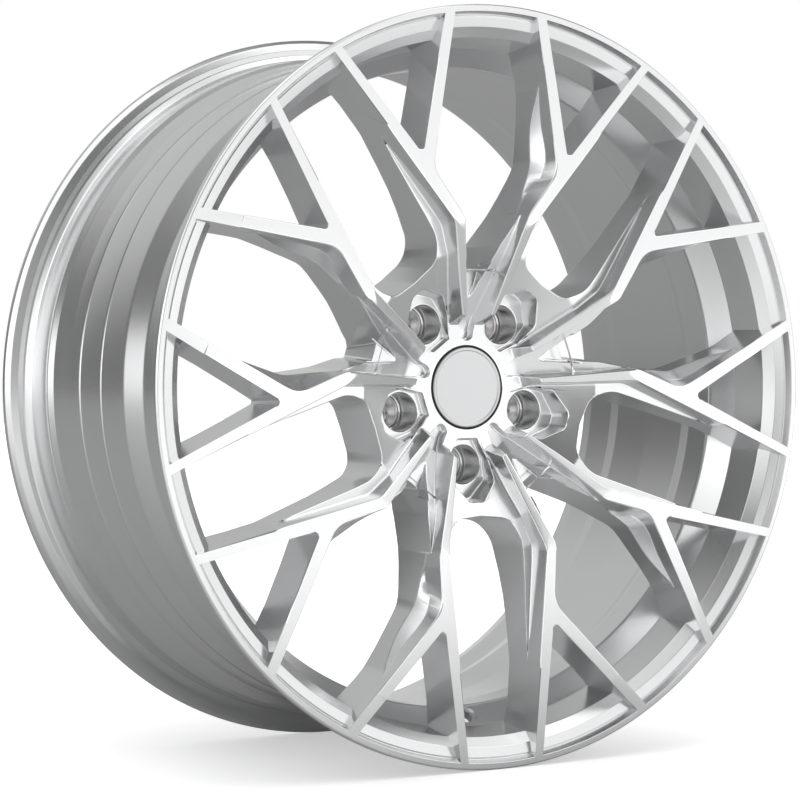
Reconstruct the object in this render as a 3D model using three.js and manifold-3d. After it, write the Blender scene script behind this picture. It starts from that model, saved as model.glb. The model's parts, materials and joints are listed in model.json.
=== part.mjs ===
// A 20 x 9 inch forged racing wheel with five split-spoke pairs, a deep five-lug hub and a snap-in
// centre cap.  Millimetres, +Z up, wheel axis along Y, front (street) face toward -Y.
//
// The wheel is drawn face-on in a flat frame: x to the right, y up, and the third number is how far a
// point lies behind the front edge of the rim (its depth).  The last group stands the wheel upright.

import * as THREE from 'three';
import { mergeVertices } from 'three/addons/utils/BufferGeometryUtils.js';
import Module from 'manifold-3d';

const manifoldLibrary = await Module();
manifoldLibrary.setup();

// ---------------------------------------------------------------------------------------------
// Driving dimensions
// ---------------------------------------------------------------------------------------------

const FIT_GAP = 0.3; // clearance between touching pieces
const REVOLVE_STEPS = 60; // facets of every large turned surface, a multiple of the ten half sectors
const REPEATS = 5; // the spoke pattern repeats five times around the wheel
const SECTOR = (2 * Math.PI) / REPEATS;
const DRAFT = 0.087; // forging draft of the side walls, run per unit of depth (5 degrees)

// Rim barrel
const FLANGE_RADIUS = 271.5;
const WIDTH = 255;
const BEAD_SEAT_RADIUS = 254;
const FLANGE_THICKNESS = 13;
const LIP_INNER_RADIUS = 266.6; // where the flat front ring ends and the pockets between the tips begin
const LIP_CREST_RADIUS = 249.3;
const LIP_CREST_DEPTH = 13.3;
const FRONT_LEDGE_RADIUS = 244.8;
const FRONT_LEDGE_DEPTH = 40;
const DROP_CENTRE_RADIUS = 231.2; // inner surface of the drop centre
const DROP_CENTRE_DEPTH = 57;
const DROP_CENTRE_LENGTH = 23;
const BARREL_WALL = 4.8;
const REAR_OPENING_RADIUS = 252;

// Valve hole, drilled square to the front slope of the drop centre
const VALVE_HOLE_DIAMETER = 11.3;
const VALVE_SPOT_DIAMETER = 20;
const VALVE_SPOT_DEPTH = 1.2;
const VALVE_HOLE_CUT = 60; // cutter length, through the wall at any slope
const VALVE_SPOT_CUT = 12;

// Spokes
const HUB_PLATE_RADIUS = 100; // the hub piece ends and the spokes begin on this circle
const LEDGE_DEPTH = 18.5; // depth of the shoulder beside each spoke at its bend
const TIP_ROOT_RADIUS = 245; // where the back of a spoke tip meets the barrel
const TIP_THICKNESS = 39;
const PLATE_FRONT_DEPTH = 9.6; // the three levels where the spokes meet the hub piece
const PLATE_SHOULDER_DEPTH = 22;
const PLATE_BACK_DEPTH = 70;
const WINDOW_STEP = 30; // the face windows run this far below the shoulder
const FORK_DRAFT = DRAFT * 0.35; // the narrow fork windows are nearly square to the face
const GROOVE_DRAFT = 0.02;

// Hub
const BOLT_CIRCLE = 112;
const WELL_DIAMETER = 28.4;
const WELL_MOUTH_DEPTH = 48.7;
const SEAT_DEPTH = 72;
const SEAT_DIAMETER = 25;
const SEAT_HEIGHT = 10;
const SEAT_RIM_WIDTH = 1.5; // flat ring left around the mouth of the cone
const SEAT_CONE_ANGLE = THREE.MathUtils.degToRad(60); // included angle
const BOLT_HOLE_DIAMETER = 15;
const RING_DEPTH = 42.5; // front face of the star-shaped ring around the cap
const PAD_DEPTH = 89.5; // mounting face, which sets the wheel's offset
const PAD_RADIUS = 76;
const CUTTER_OVERRUN = 5; // how far a through cut runs past the face it leaves by
const CENTRE_BORE_DIAMETER = 66.6;
const CENTRE_BORE_LENGTH = 22;
const CAP_SOCKET_DIAMETER = 56;

// Centre cap
const CAP_DIAMETER = 60;
const CAP_FACE_DEPTH = 41.8;
const CAP_FLANGE_THICKNESS = 2.6;
const CAP_DISC_DIAMETER = 57.8;
const CAP_DISC_THICKNESS = 1.2;
const CAP_SKIRT_LENGTH = 14;
const CAP_SKIRT_WALL = 1.8;
const CAP_LEGS = 8;
const CAP_LEG_SLOT = 5;
const SPRING_WIRE = 1.6;
const CAP_FACE_DISH = 0.35; // the disc's middle lies this far behind its raised rim
const CLIP_RELIEF = 0.8; // the legs stand this far inside their barbs
const CLIP_BARB_RISE = 2.5; // from the end of a leg up to the widest part of its barb
const CLIP_BARB_LENGTH = 4;
const CLIP_LEAD = 1.2; // the barb's end is this much narrower, to guide the cap in
const CAP_FLOOR = 0.4; // the moulded floor reaches this far behind the flange
const SOCKET_RELIEF = 1; // the socket liner overlaps the hub's own wall by this much
const SOCKET_CHAMFER = 4;
const SPRING_FROM_END = 4;

// ---------------------------------------------------------------------------------------------
// Materials
// ---------------------------------------------------------------------------------------------

function silverPaint() {
  return new THREE.MeshStandardMaterial({ color: 0xb9bbbd, roughness: 0.34, metalness: 0.9 });
}

function machinedSteel() {
  return new THREE.MeshStandardMaterial({ color: 0xd4d5d6, roughness: 0.22, metalness: 1.0 });
}

function satinCapSilver() {
  return new THREE.MeshStandardMaterial({ color: 0xc6c7c9, roughness: 0.4, metalness: 0.8 });
}

function blackPlastic() {
  return new THREE.MeshStandardMaterial({ color: 0x151617, roughness: 0.55, metalness: 0.0 });
}

function springSteel() {
  return new THREE.MeshStandardMaterial({ color: 0x8c9094, roughness: 0.3, metalness: 1.0 });
}

// ---------------------------------------------------------------------------------------------
// Solids
// ---------------------------------------------------------------------------------------------

// Turns a closed three.js geometry into a manifold solid, whichever way its faces point.
function toSolid(geometry) {
  const bare = geometry.clone();
  bare.deleteAttribute('normal');
  bare.deleteAttribute('uv');
  const merged = mergeVertices(bare, 1e-5);
  const corners = merged.attributes.position.array;
  const triangles = Array.from(merged.index.array);
  if (signedVolume(corners, triangles) < 0) {
    for (let i = 0; i < triangles.length; i += 3) {
      [triangles[i], triangles[i + 1]] = [triangles[i + 1], triangles[i]];
    }
  }
  const mesh = new manifoldLibrary.Mesh({
    numProp: 3,
    vertProperties: Float32Array.from(corners),
    triVerts: Uint32Array.from(triangles),
  });
  return new manifoldLibrary.Manifold(mesh);
}

function signedVolume(corners, triangles) {
  const a = new THREE.Vector3();
  const b = new THREE.Vector3();
  const c = new THREE.Vector3();
  let volume = 0;
  for (let i = 0; i < triangles.length; i += 3) {
    a.fromArray(corners, triangles[i] * 3);
    b.fromArray(corners, triangles[i + 1] * 3);
    c.fromArray(corners, triangles[i + 2] * 3);
    volume += a.dot(b.cross(c)) / 6;
  }
  return volume;
}

function toGeometry(solid) {
  const mesh = solid.getMesh();
  const geometry = new THREE.BufferGeometry();
  geometry.setAttribute('position', new THREE.BufferAttribute(mesh.vertProperties, 3));
  geometry.setIndex(new THREE.BufferAttribute(mesh.triVerts, 1));
  geometry.computeVertexNormals();
  return geometry;
}

// Revolves a closed outline of [radius, depth] points about the wheel axis.
function turned(outline, steps = REVOLVE_STEPS) {
  const points = outline.map(([radius, depth]) => new THREE.Vector2(radius, -depth));
  const onAxis = points[0].x === 0 && points[points.length - 1].x === 0;
  if (!onAxis) {
    points.push(points[0].clone());
  }
  const geometry = new THREE.LatheGeometry(points, steps);
  geometry.rotateX(Math.PI / 2);
  return toSolid(geometry);
}

// A prism whose outline shrinks (or grows, when draft is negative) as it goes deeper.
function drafted(outline, fromDepth, toDepth, draft = DRAFT) {
  const shrunk = inset(outline, draft * (toDepth - fromDepth));
  const faces = THREE.ShapeUtils.triangulateShape(outline, []);
  const count = outline.length;
  const positions = [];
  outline.forEach((point) => positions.push(point.x, point.y, -fromDepth));
  shrunk.forEach((point) => positions.push(point.x, point.y, -toDepth));
  const indices = [];
  faces.forEach(([a, b, c]) => {
    indices.push(a, b, c);
    indices.push(c + count, b + count, a + count);
  });
  for (let i = 0; i < count; i += 1) {
    const next = (i + 1) % count;
    indices.push(i, i + count, next + count);
    indices.push(i, next + count, next);
  }
  const geometry = new THREE.BufferGeometry();
  geometry.setAttribute('position', new THREE.Float32BufferAttribute(positions, 3));
  geometry.setIndex(indices);
  return toSolid(geometry);
}

// Moves every side of an anticlockwise outline inward by the same distance.
function inset(outline, distance) {
  return outline.map((point, i) => {
    const before = outline[(i + outline.length - 1) % outline.length];
    const after = outline[(i + 1) % outline.length];
    const sideIn = new THREE.Vector2().subVectors(point, before).normalize();
    const sideOut = new THREE.Vector2().subVectors(after, point).normalize();
    const inward = new THREE.Vector2(-sideIn.y - sideOut.y, sideIn.x + sideOut.x).normalize();
    const reach = distance / Math.max(0.5, inward.dot(new THREE.Vector2(-sideIn.y, sideIn.x)));
    return point.clone().addScaledVector(inward, reach);
  });
}

function cylinder(radius, fromDepth, toDepth, steps = 28) {
  const geometry = new THREE.CylinderGeometry(radius, radius, toDepth - fromDepth, steps);
  geometry.rotateX(Math.PI / 2);
  geometry.translate(0, 0, -(fromDepth + toDepth) / 2);
  return toSolid(geometry);
}

// A round hole's position on the face, at an angle measured clockwise from straight up.
function onFace(radius, angle) {
  return new THREE.Vector2(radius * Math.sin(angle), radius * Math.cos(angle));
}

function turnedAbout(solid, angle) {
  return solid.rotate([0, 0, -THREE.MathUtils.radToDeg(angle)]);
}

// Reads an outline given as corner points, rounding the corners that carry a radius: [x, y, radius].
function rounded(corners, arcSteps = 3) {
  const outline = [];
  corners.forEach(([x, y, radius], i) => {
    const corner = new THREE.Vector2(x, y);
    if (!radius) {
      outline.push(corner);
      return;
    }
    const [bx, by] = corners[(i + corners.length - 1) % corners.length];
    const [ax, ay] = corners[(i + 1) % corners.length];
    const toBefore = new THREE.Vector2(bx - x, by - y);
    const toAfter = new THREE.Vector2(ax - x, ay - y);
    const halfAngle = Math.abs(toBefore.angleTo(toAfter)) / 2;
    const fullReach = radius / Math.tan(halfAngle);
    const reach = Math.min(fullReach, toBefore.length() * 0.48, toAfter.length() * 0.48);
    const start = corner.clone().addScaledVector(toBefore.normalize(), reach);
    const end = corner.clone().addScaledVector(toAfter.normalize(), reach);
    const curve = new THREE.QuadraticBezierCurve(start, corner, end);
    outline.push(...curve.getPoints(arcSteps));
  });
  return outline;
}

// Completes an outline that is symmetric about the y axis from its right-hand side, given from the
// top down; the result runs anticlockwise.
function mirroredOutline(rightSide, arcSteps) {
  const leftSide = rightSide.filter(([x]) => x > 0).map(([x, y, radius]) => [-x, y, radius]);
  return rounded([...leftSide, ...[...rightSide].reverse()], arcSteps);
}

// ---------------------------------------------------------------------------------------------
// Rim barrel
// ---------------------------------------------------------------------------------------------

// The front pocket that the spoke tips fill, from the flat ring back to the drop centre.
function lipPocket() {
  return [
    [LIP_INNER_RADIUS, 0],
    [LIP_INNER_RADIUS - 1.6, 3],
    [LIP_INNER_RADIUS - 3.4, 5.1],
    [LIP_CREST_RADIUS + 6.9, LIP_CREST_DEPTH - 6.4],
    [LIP_CREST_RADIUS, LIP_CREST_DEPTH],
    [FRONT_LEDGE_RADIUS, FRONT_LEDGE_DEPTH],
  ];
}

function dropCentre() {
  const end = DROP_CENTRE_DEPTH + DROP_CENTRE_LENGTH;
  return [
    [DROP_CENTRE_RADIUS, DROP_CENTRE_DEPTH],
    [DROP_CENTRE_RADIUS, end],
    [DROP_CENTRE_RADIUS + 7, end + 16],
    [DROP_CENTRE_RADIUS + 9.5, end + 66],
    [DROP_CENTRE_RADIUS + 11, end + 108],
  ];
}

// The tyre side, from the rear flange forward to the front one.
function tyreSide() {
  const rearSeat = WIDTH - FLANGE_THICKNESS;
  const floor = DROP_CENTRE_RADIUS + BARREL_WALL;
  const floorEnd = DROP_CENTRE_DEPTH + DROP_CENTRE_LENGTH;
  return [
    [FLANGE_RADIUS - 1.5, WIDTH],
    [FLANGE_RADIUS, WIDTH - 1.5],
    [FLANGE_RADIUS, WIDTH - 6],
    [FLANGE_RADIUS - 3, WIDTH - 9],
    [FLANGE_RADIUS - 6.5, rearSeat],
    [BEAD_SEAT_RADIUS + 4, rearSeat],
    [BEAD_SEAT_RADIUS, rearSeat - 6],
    [BEAD_SEAT_RADIUS - 1.6, rearSeat - 24],
    [BEAD_SEAT_RADIUS - 0.4, rearSeat - 29],
    [BEAD_SEAT_RADIUS - 2.4, rearSeat - 35],
    [floor + 12, rearSeat - 54],
    [floor + 9.5, floorEnd + 66],
    [floor + 7.5, floorEnd + 18],
    [floor, floorEnd + 4],
    [floor, DROP_CENTRE_DEPTH + 4],
    [BEAD_SEAT_RADIUS - 4, FRONT_LEDGE_DEPTH + 6],
    [BEAD_SEAT_RADIUS - 0.4, FRONT_LEDGE_DEPTH + 1],
    [BEAD_SEAT_RADIUS - 1.6, FRONT_LEDGE_DEPTH - 5],
    [BEAD_SEAT_RADIUS, FLANGE_THICKNESS + 6],
    [BEAD_SEAT_RADIUS + 4, FLANGE_THICKNESS],
    [FLANGE_RADIUS - 6.5, FLANGE_THICKNESS],
    [FLANGE_RADIUS - 3, 9],
    [FLANGE_RADIUS, 6],
    [FLANGE_RADIUS, 1.2],
    [FLANGE_RADIUS - 1.2, 0],
  ];
}

function rearOpening() {
  return [
    [REAR_OPENING_RADIUS - 6, WIDTH - 52],
    [REAR_OPENING_RADIUS - 3.5, WIDTH - 20],
    [REAR_OPENING_RADIUS, WIDTH - 4],
    [REAR_OPENING_RADIUS + 4, WIDTH],
  ];
}

// Stands on the front slope of the drop centre, straight down from the wheel centre.
function valveHoleCutter() {
  const run = DROP_CENTRE_DEPTH - FRONT_LEDGE_DEPTH;
  const fall = FRONT_LEDGE_RADIUS - DROP_CENTRE_RADIUS;
  const tilt = Math.atan2(run, fall);
  const middleRadius = (FRONT_LEDGE_RADIUS + DROP_CENTRE_RADIUS) / 2;
  const middleDepth = (FRONT_LEDGE_DEPTH + DROP_CENTRE_DEPTH) / 2;
  const hole = new THREE.CylinderGeometry(
    VALVE_HOLE_DIAMETER / 2,
    VALVE_HOLE_DIAMETER / 2,
    VALVE_HOLE_CUT,
    20,
  );
  const spot = new THREE.CylinderGeometry(
    VALVE_SPOT_DIAMETER / 2,
    VALVE_SPOT_DIAMETER / 2,
    VALVE_SPOT_CUT,
    24,
  );
  spot.translate(0, VALVE_SPOT_CUT / 2 - VALVE_SPOT_DEPTH, 0);
  const place = new THREE.Matrix4().makeRotationX(Math.PI / 2 - tilt);
  place.setPosition(0, -middleRadius, -middleDepth);
  hole.applyMatrix4(place);
  spot.applyMatrix4(place);
  return toSolid(hole).add(toSolid(spot));
}

function rimBarrel() {
  const outline = [...lipPocket(), ...dropCentre(), ...rearOpening(), ...tyreSide()];
  return turned(outline).subtract(valveHoleCutter());
}

// ---------------------------------------------------------------------------------------------
// Spoke pattern: one half sector, mirrored and repeated
// ---------------------------------------------------------------------------------------------

const BEYOND_RIM = FLANGE_RADIUS + 4.5; // window cutters run out past the lip

// Window between the two spokes of one pair, at the front land of the spokes.  The pair's middle
// line is the y axis.  Its lower end is the groove that runs down to the star ring.
function pairWindowFront() {
  return mirroredOutline([
    [33, BEYOND_RIM],
    [52.8, 154, 18],
    [26.8, 122, 14],
    [10, 52],
    [5, 41, 4],
    [5, 33.5, 4],
  ]);
}

// The same window through the shoulder level, which stops short of the hub.
function pairWindowBack() {
  return mirroredOutline([
    [33, BEYOND_RIM],
    [43.3, 213, 30],
    [43.3, 160, 24],
    [28.5, 125, 10],
    [16.1, 102, 10],
    [10.5, 84, 3],
  ]);
}

// Window over a lug, between neighbouring pairs, drawn with the lug straight up.
function lugWindowFront() {
  return mirroredOutline([
    [26.7, BEYOND_RIM],
    [41.3, 115, 16],
    [26.9, 74.4, 20],
    [19, 50],
    [10.4, 40, 3],
    [9, 36.5, 2.5],
  ]);
}

function lugWindowBack() {
  return mirroredOutline([
    [26.7, BEYOND_RIM],
    [33.4, 205, 30],
    [33.4, 107, 30],
    [22, 92, 14],
    [0, 88.8],
  ]);
}

// Narrow window between the two tips of the right-hand spoke of a pair.
function forkWindow() {
  return rounded([
    [61.2, 167, 2],
    [65.4, 167.4, 2],
    [136.4, 244.7],
    [40, BEYOND_RIM],
  ]);
}

// Recess around a bolt, drawn with the lug straight up: a house-shaped floor that opens to the ring.
function lugPocket() {
  return mirroredOutline([
    [5.5, 82.5, 5],
    [18.5, 68, 4],
    [17.6, 52],
    [10.4, 40, 3],
    [9, 36.5, 2.5],
  ]);
}

const SPOKE_BACK = [
  [TIP_ROOT_RADIUS - FIT_GAP, TIP_THICKNESS],
  [226, 37.5],
  [200, 41.5],
  [175, 46],
  [150, 54],
  [126, 62],
  [HUB_PLATE_RADIUS, PLATE_BACK_DEPTH],
];
const HUB_BACK = [
  [HUB_PLATE_RADIUS, PLATE_BACK_DEPTH],
  [88, 77],
  [PAD_RADIUS, PAD_DEPTH],
];
const SPOKE_FRONT = [
  [HUB_PLATE_RADIUS, PLATE_FRONT_DEPTH],
  [124, 2.6],
  [180, 1.2],
];
const STEM_FRONT = [
  [54, 25.2],
  [77.7, 17],
  [HUB_PLATE_RADIUS, PLATE_FRONT_DEPTH],
];
const SHOULDER = [
  [54, RING_DEPTH],
  [62, 38.5],
  [83, 29.5],
  [HUB_PLATE_RADIUS, PLATE_SHOULDER_DEPTH],
  [130, LEDGE_DEPTH],
  [190, LEDGE_DEPTH - 3],
];
const STAR_ARM_RADIUS = 47; // where the end of each stem drops to the star ring

// The lip pocket set back by the fit gap, where the spoke tips end.
function tipEnd() {
  return lipPocket()
    .slice(0, -1)
    .map(([radius, depth]) => [radius - FIT_GAP, Math.max(0, depth - FIT_GAP)]);
}

function cutAllRound(blank, cutter, phase) {
  let result = blank;
  for (let i = 0; i < REPEATS; i += 1) {
    result = result.subtract(turnedAbout(cutter, phase + i * SECTOR));
  }
  return result;
}

function cutLevels(front, back) {
  const through = PAD_DEPTH + CUTTER_OVERRUN;
  const pairFront = drafted(pairWindowFront(), -1, LEDGE_DEPTH + WINDOW_STEP);
  const lugFront = drafted(lugWindowFront(), -1, LEDGE_DEPTH + WINDOW_STEP);
  const pairBack = drafted(pairWindowBack(), -1, through);
  const lugBack = drafted(lugWindowBack(), -1, through);
  const fork = drafted(forkWindow(), -1, through, FORK_DRAFT);
  let upper = cutAllRound(front, pairFront, 0);
  upper = cutAllRound(upper, lugFront, SECTOR / 2);
  let whole = upper.add(back);
  whole = cutAllRound(whole, pairBack, 0);
  whole = cutAllRound(whole, lugBack, SECTOR / 2);
  whole = cutAllRound(whole, fork, 0);
  return cutAllRound(whole, fork.mirror([1, 0, 0]), 0);
}

// Everything between two radii, clipped from the spoke blank.
function spokeRing() {
  const inner = HUB_PLATE_RADIUS + FIT_GAP;
  const front = turned([[inner, PLATE_FRONT_DEPTH], ...SPOKE_FRONT.slice(1), ...tipEnd(), ...backOfSpoke(inner)]);
  const shoulder = SHOULDER.slice(4);
  const topOuter = [LIP_CREST_RADIUS - 3, LIP_CREST_DEPTH + 3];
  const back = turned([[inner, PLATE_SHOULDER_DEPTH], ...shoulder, topOuter, ...backOfSpoke(inner)]);
  return cutLevels(front, back);
}

function backOfSpoke(inner) {
  return [...SPOKE_BACK.slice(0, -1), [inner, PLATE_BACK_DEPTH]];
}

// One forked spoke: the right-hand one of the top pair.
function forkedSpoke() {
  const reach = FLANGE_RADIUS * 2;
  const tip = onFace(FIT_GAP / 2 / Math.sin(SECTOR / 4), SECTOR / 4); // clear of both neighbours
  const sliver = new THREE.Shape([
    new THREE.Vector2(0, 0),
    onFace(reach, SECTOR / 2),
    onFace(reach, SECTOR / 4),
    onFace(reach, 0),
  ]);
  const wedge = new THREE.ExtrudeGeometry(sliver, { depth: WIDTH, bevelEnabled: false });
  wedge.translate(tip.x, tip.y, CUTTER_OVERRUN - WIDTH);
  return spokeRing().intersect(toSolid(wedge));
}

// ---------------------------------------------------------------------------------------------
// Hub
// ---------------------------------------------------------------------------------------------

function hubBlank() {
  const bore = CAP_DIAMETER / 2 + FIT_GAP;
  const stemOutline = [
    [bore, RING_DEPTH],
    [STAR_ARM_RADIUS, RING_DEPTH],
    ...STEM_FRONT,
    ...HUB_BACK,
    [bore, PAD_DEPTH],
  ];
  const plateOutline = [
    [bore, RING_DEPTH],
    ...SHOULDER.slice(0, 4),
    ...HUB_BACK,
    [bore, PAD_DEPTH],
  ];
  return cutLevels(turned(stemOutline), turned(plateOutline));
}

function socketLiner() {
  const capBore = CAP_DIAMETER / 2 + FIT_GAP;
  const seat = CAP_FACE_DEPTH + CAP_FLANGE_THICKNESS + FIT_GAP;
  const boreStart = PAD_DEPTH - CENTRE_BORE_LENGTH;
  return turned([
    [CAP_SOCKET_DIAMETER / 2, seat],
    [capBore + SOCKET_RELIEF, seat],
    [capBore + SOCKET_RELIEF, boreStart + SOCKET_CHAMFER],
    [CAP_SOCKET_DIAMETER / 2, boreStart],
  ]);
}

function hubCentre() {
  const mouth = WELL_MOUTH_DEPTH;
  const pocket = drafted(lugPocket(), -1, mouth, DRAFT);
  const well = cylinder(WELL_DIAMETER / 2, mouth - CUTTER_OVERRUN, SEAT_DEPTH);
  const seatBore = cylinder(SEAT_DIAMETER / 2 + FIT_GAP, mouth, SEAT_DEPTH + SEAT_HEIGHT + FIT_GAP);
  const boltHole = cylinder(BOLT_HOLE_DIAMETER / 2, mouth, PAD_DEPTH + CUTTER_OVERRUN, 20);
  const lugCutter = well.add(seatBore).add(boltHole);
  const place = onFace(BOLT_CIRCLE / 2, 0);
  const boreStart = PAD_DEPTH - CENTRE_BORE_LENGTH;
  const centreBore = cylinder(CENTRE_BORE_DIAMETER / 2, boreStart, PAD_DEPTH + CUTTER_OVERRUN, 48);
  let hub = hubBlank().add(socketLiner());
  hub = cutAllRound(hub, pocket, SECTOR / 2);
  hub = cutAllRound(hub, lugCutter.translate([place.x, place.y, 0]), SECTOR / 2);
  hub = cutAllRound(hub, pairGroove(), 0);
  return hub.subtract(centreBore);
}

// Round-ended notch in the star ring where the groove between two stems ends.
function pairGroove() {
  const outline = mirroredOutline([
    [8.6, 58, 3],
    [8.2, 50, 6],
    [4.9, 41, 6],
    [4.9, 33.5, 4.6],
  ]);
  return drafted(outline, -1, WELL_MOUTH_DEPTH, GROOVE_DRAFT);
}

// Steel insert with a conical bolt seat, pressed into the bottom of a bolt well.
function lugSeat() {
  const bottom = SEAT_DEPTH + SEAT_HEIGHT;
  const through = BOLT_HOLE_DIAMETER / 2;
  const mouth = SEAT_DIAMETER / 2 - SEAT_RIM_WIDTH;
  return turned(
    [
      [mouth, SEAT_DEPTH],
      [through, SEAT_DEPTH + (mouth - through) / Math.tan(SEAT_CONE_ANGLE / 2)],
      [through, bottom],
      [SEAT_DIAMETER / 2, bottom],
      [SEAT_DIAMETER / 2, SEAT_DEPTH],
    ],
    28,
  );
}

// ---------------------------------------------------------------------------------------------
// Centre cap
// ---------------------------------------------------------------------------------------------

const CAP_STEPS = 40;

function capDisc() {
  const radius = CAP_DISC_DIAMETER / 2;
  const back = CAP_FACE_DEPTH + CAP_DISC_THICKNESS;
  return turned(
    [
      [0, CAP_FACE_DEPTH + CAP_FACE_DISH],
      [radius - 2.2, CAP_FACE_DEPTH + CAP_FACE_DISH],
      [radius - 1.7, CAP_FACE_DEPTH],
      [radius - 0.5, CAP_FACE_DEPTH + 0.1],
      [radius, CAP_FACE_DEPTH + 0.6],
      [radius, back],
      [0, back],
    ],
    CAP_STEPS,
  );
}

// Moulded cap body: a dished flange that holds the disc, and a ring of clip legs behind it.
function capHousing() {
  const floor = CAP_FACE_DEPTH + CAP_DISC_THICKNESS + FIT_GAP;
  const flangeBack = CAP_FACE_DEPTH + CAP_FLANGE_THICKNESS;
  const legOuter = CAP_SOCKET_DIAMETER / 2 - FIT_GAP;
  const legSide = legOuter - CLIP_RELIEF;
  const legEnd = flangeBack + CAP_SKIRT_LENGTH;
  const body = turned(
    [
      [0, floor],
      [CAP_DISC_DIAMETER / 2 + FIT_GAP, floor],
      [CAP_DISC_DIAMETER / 2 + FIT_GAP, CAP_FACE_DEPTH + 0.4],
      [CAP_DIAMETER / 2, CAP_FACE_DEPTH + 0.6],
      [CAP_DIAMETER / 2, flangeBack],
      [legSide, flangeBack],
      [legSide, legEnd - CLIP_BARB_LENGTH],
      [legOuter, legEnd - CLIP_BARB_RISE],
      [legOuter - CLIP_LEAD, legEnd],
      [legSide - CAP_SKIRT_WALL, legEnd],
      [legSide - CAP_SKIRT_WALL, flangeBack + CAP_FLOOR],
      [0, flangeBack + CAP_FLOOR],
    ],
    CAP_STEPS,
  );
  let housing = body;
  for (let i = 0; i < CAP_LEGS; i += 1) {
    const slot = new THREE.BoxGeometry(CAP_LEG_SLOT, CAP_DIAMETER / 2, CAP_SKIRT_LENGTH);
    slot.translate(0, CAP_DIAMETER / 4 + 8, -(flangeBack + 2.5 + CAP_SKIRT_LENGTH / 2));
    housing = housing.subtract(turnedAbout(toSolid(slot), ((i + 0.5) * 2 * Math.PI) / CAP_LEGS));
  }
  return housing;
}

// Wire ring that presses the clip legs outward from inside.
function capSpringRing() {
  const legInner = CAP_SOCKET_DIAMETER / 2 - FIT_GAP - CLIP_RELIEF - CAP_SKIRT_WALL;
  const ringRadius = legInner - FIT_GAP - SPRING_WIRE / 2;
  const geometry = new THREE.TorusGeometry(ringRadius, SPRING_WIRE / 2, 8, CAP_STEPS);
  const depth = CAP_FACE_DEPTH + CAP_FLANGE_THICKNESS + CAP_SKIRT_LENGTH - SPRING_FROM_END;
  geometry.translate(0, 0, -depth);
  return toSolid(geometry);
}

// ---------------------------------------------------------------------------------------------
// Assembly
// ---------------------------------------------------------------------------------------------

function piece(name, solid, material) {
  const mesh = new THREE.Mesh(toGeometry(solid), material);
  mesh.name = name;
  return mesh;
}

function spokes() {
  const group = new THREE.Group();
  const rightHand = toGeometry(forkedSpoke());
  for (let i = 0; i < REPEATS * 2; i += 1) {
    const mesh = new THREE.Mesh(rightHand, silverPaint());
    const pair = Math.ceil(i / 2) % REPEATS;
    mesh.name = `spoke_${String(i + 1).padStart(2, '0')}`;
    mesh.rotation.z = -pair * SECTOR;
    mesh.scale.x = i % 2 === 0 ? 1 : -1;
    group.add(mesh);
  }
  return group;
}

function lugSeats() {
  const group = new THREE.Group();
  const seat = toGeometry(lugSeat());
  for (let i = 0; i < REPEATS; i += 1) {
    const mesh = new THREE.Mesh(seat, machinedSteel());
    const place = onFace(BOLT_CIRCLE / 2, SECTOR * (i + 0.5));
    mesh.name = `lug_seat_${i + 1}`;
    mesh.position.set(place.x, place.y, 0);
    group.add(mesh);
  }
  return group;
}

function centreCap() {
  const group = new THREE.Group();
  group.add(piece('cap_disc', capDisc(), satinCapSilver()));
  group.add(piece('cap_housing', capHousing(), blackPlastic()));
  group.add(piece('cap_spring_ring', capSpringRing(), springSteel()));
  return group;
}

function wheel() {
  const face = new THREE.Group();
  face.add(piece('rim_barrel', rimBarrel(), silverPaint()));
  face.add(piece('hub_centre', hubCentre(), silverPaint()));
  face.add(spokes());
  face.add(lugSeats());
  face.add(centreCap());
  face.position.z = WIDTH / 2;
  const upright = new THREE.Group();
  upright.add(face);
  upright.rotation.x = Math.PI / 2;
  return upright;
}

export default wheel();
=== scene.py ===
"""Studio scene of a forged racing wheel rim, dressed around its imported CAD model.

The wheel stands upright with its axis along Y and its street face towards -Y.  Shapes are drawn in
millimetres in the flat frame of the face: u to the right, z up along the middle line of one pair of
spokes, and depth measured back from the front edge of the rim.
"""

from __future__ import annotations

import json
import logging
import math
from collections.abc import Callable, Iterable, Iterator, Sequence
from contextlib import contextmanager
from dataclasses import dataclass
from enum import Enum
from functools import cache

import bmesh
import bpy
from mathutils import Matrix, Vector

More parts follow.
